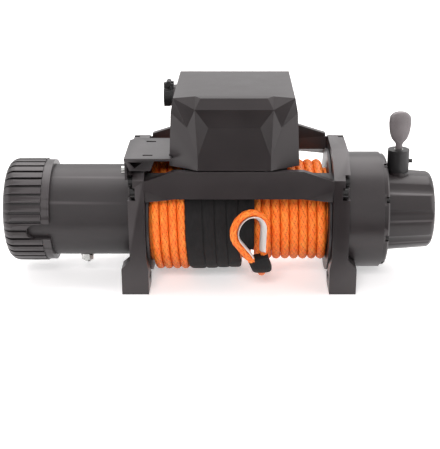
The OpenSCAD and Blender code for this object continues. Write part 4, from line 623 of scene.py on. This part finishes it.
def cover_bends():
    """The triangles of the cover's outer and inner shape with the shifts of their corners."""
    bends = []
    for wall, below in ((0, 0), (COVER_WALL, 1)):
        size = np.array(COVER_SIZE) - [2 * wall, 2 * wall, wall - below]
        foot = np.array([COVER_X, COVER_Y + wall, COVER_Z - below])
        left, right = ([(foot + size * share * [side / 2, 1, 1], shift * [side, 1, 1])
                        for share, shift in COVER_CORNERS] for side in (-1, 1))
        faces = [[half[k] for k in f] for half in (left, right) for f in COVER_FACES]
        for k, m in zip(COVER_EDGE, COVER_EDGE[1:] + COVER_EDGE[:1]):
            faces += [[left[k], right[k], left[m]], [right[k], right[m], left[m]]]
        bends += [(np.array([c[0] for c in f]), np.array([c[1] for c in f])) for f in faces]
    return bends


softened("box_cover", ABS, 0.9, 5, bends=cover_bends())
for name, surface, width, sharp in (
    ("support_motor_side", POWDER, 1.0, 32), ("support_gear_side", POWDER, 1.0, 32),
    ("tie_bar_front", POWDER, 1.0, 7), ("tie_bar_rear", POWDER, 1.0, 7), ("box_bracket", SHEET, 0.5, 32),
    ("gear_housing", POWDER, 0.8, 32), ("gear_end_cover", POWDER, 0.8, 32), ("motor_end_cap", ABS, 0.5, 32),
    ("motor_tube", TUBE, 0.6, 32), ("clutch_collar", BLACK, 0.5, 32), ("remote_socket", BLACK, 0.4, 32),
    ("socket_cap", BLACK, 0.4, 32),
):
    softened(name, surface, width, sharp)

FINISHES = {
    "zinc_steel": ZINC, "drum_steel": DRUM, "gear_steel": GEAR, "bronze": BRONZE, "copper": COPPER,
    "carbon": CARBON, "core_steel": IRON, "brake_lining": LINING, "board_plastic": BOARD, "orange_rope": ROPE,
    "black_sleeve": SLEEVE, "thimble_steel": THIMBLE, "powder_coat": POWDER, "black_plastic": BLACK,
}
for name, obj in NODES.items():
    black_screws = name in ("cover_screws_set", "tie_bar_screws")
    obj.data.materials.clear()
    obj.data.materials.append(OXIDE if black_screws else FINISHES[SLOT_OF[name]])

# Floor and background


def seen(tree):
    """1 for a ray from the camera, or from a shiny or clear surface, and 0 for one that only gives
    light."""
    rays = add(tree, "ShaderNodeLightPath").outputs
    shown, capped = rays["Is Camera Ray"], {"operation": "ADD", "use_clamp": True}
    for ray in ("Is Glossy Ray", "Is Transmission Ray"):
        shown = add(tree, "ShaderNodeMath", capped, i0=shown, i1=rays[ray]).outputs["Value"]
    return shown


def stage():
    """A wide pale floor that keeps shadows, a world that is white where it is seen and dimmer in front as a
    light, and a dark card that lies on the floor in front, out of view, and darkens only what mirrors
    it."""
    corners, square = np.array([(-1, -1, 0), (1, -1, 0), (1, 1, 0), (-1, 1, 0)]), [(0, 1, 2, 3)]
    floor = mesh_of("floor", corners * 6000 - [0, 0, 0.2], square)
    m, t, shader = material("pale floor", Roughness=0.9, Specular_IOR_Level=0.1,
                            Base_Color=(0.9, 0.9, 0.9, 1), Emission_Color=(1, 1, 1, 1))
    glow = add(t, "ShaderNodeMath", {"operation": "MULTIPLY"}, i0=seen(t), i1=0.4).outputs["Value"]
    t.links.new(glow, shader.inputs["Emission Strength"])
    floor.data.materials.append(m)
    card = mesh_of("dark_card", corners * [330, 1420, 0] - [0, 1620, 0], square)
    velvet = material("black velvet", Roughness=1.0, Specular_IOR_Level=0.0, Base_Color=(0.01, 0.01, 0.01, 1))
    card.data.materials.append(velvet[0])
    card.visible_camera = card.visible_diffuse = card.visible_shadow = False
    world = bpy.data.worlds.new("studio")
    bpy.context.scene.world = world
    world.use_nodes = True
    w = world.node_tree
    back = w.nodes["Background"]
    back.inputs["Color"].default_value = (1, 1, 1, 1)
    way = add(w, "ShaderNodeTexCoord").outputs["Generated"]
    way = add(w, "ShaderNodeSeparateXYZ", Vector=way).outputs["Y"]
    dim = add(w, "ShaderNodeMapRange", Value=way, From_Min=-0.4, From_Max=0.6, To_Min=0.2, To_Max=0.9)
    strength = add(w, "ShaderNodeMapRange", Value=seen(w), To_Min=dim.outputs["Result"], To_Max=1.0)
    w.links.new(strength.outputs["Result"], back.inputs["Strength"])


stage()
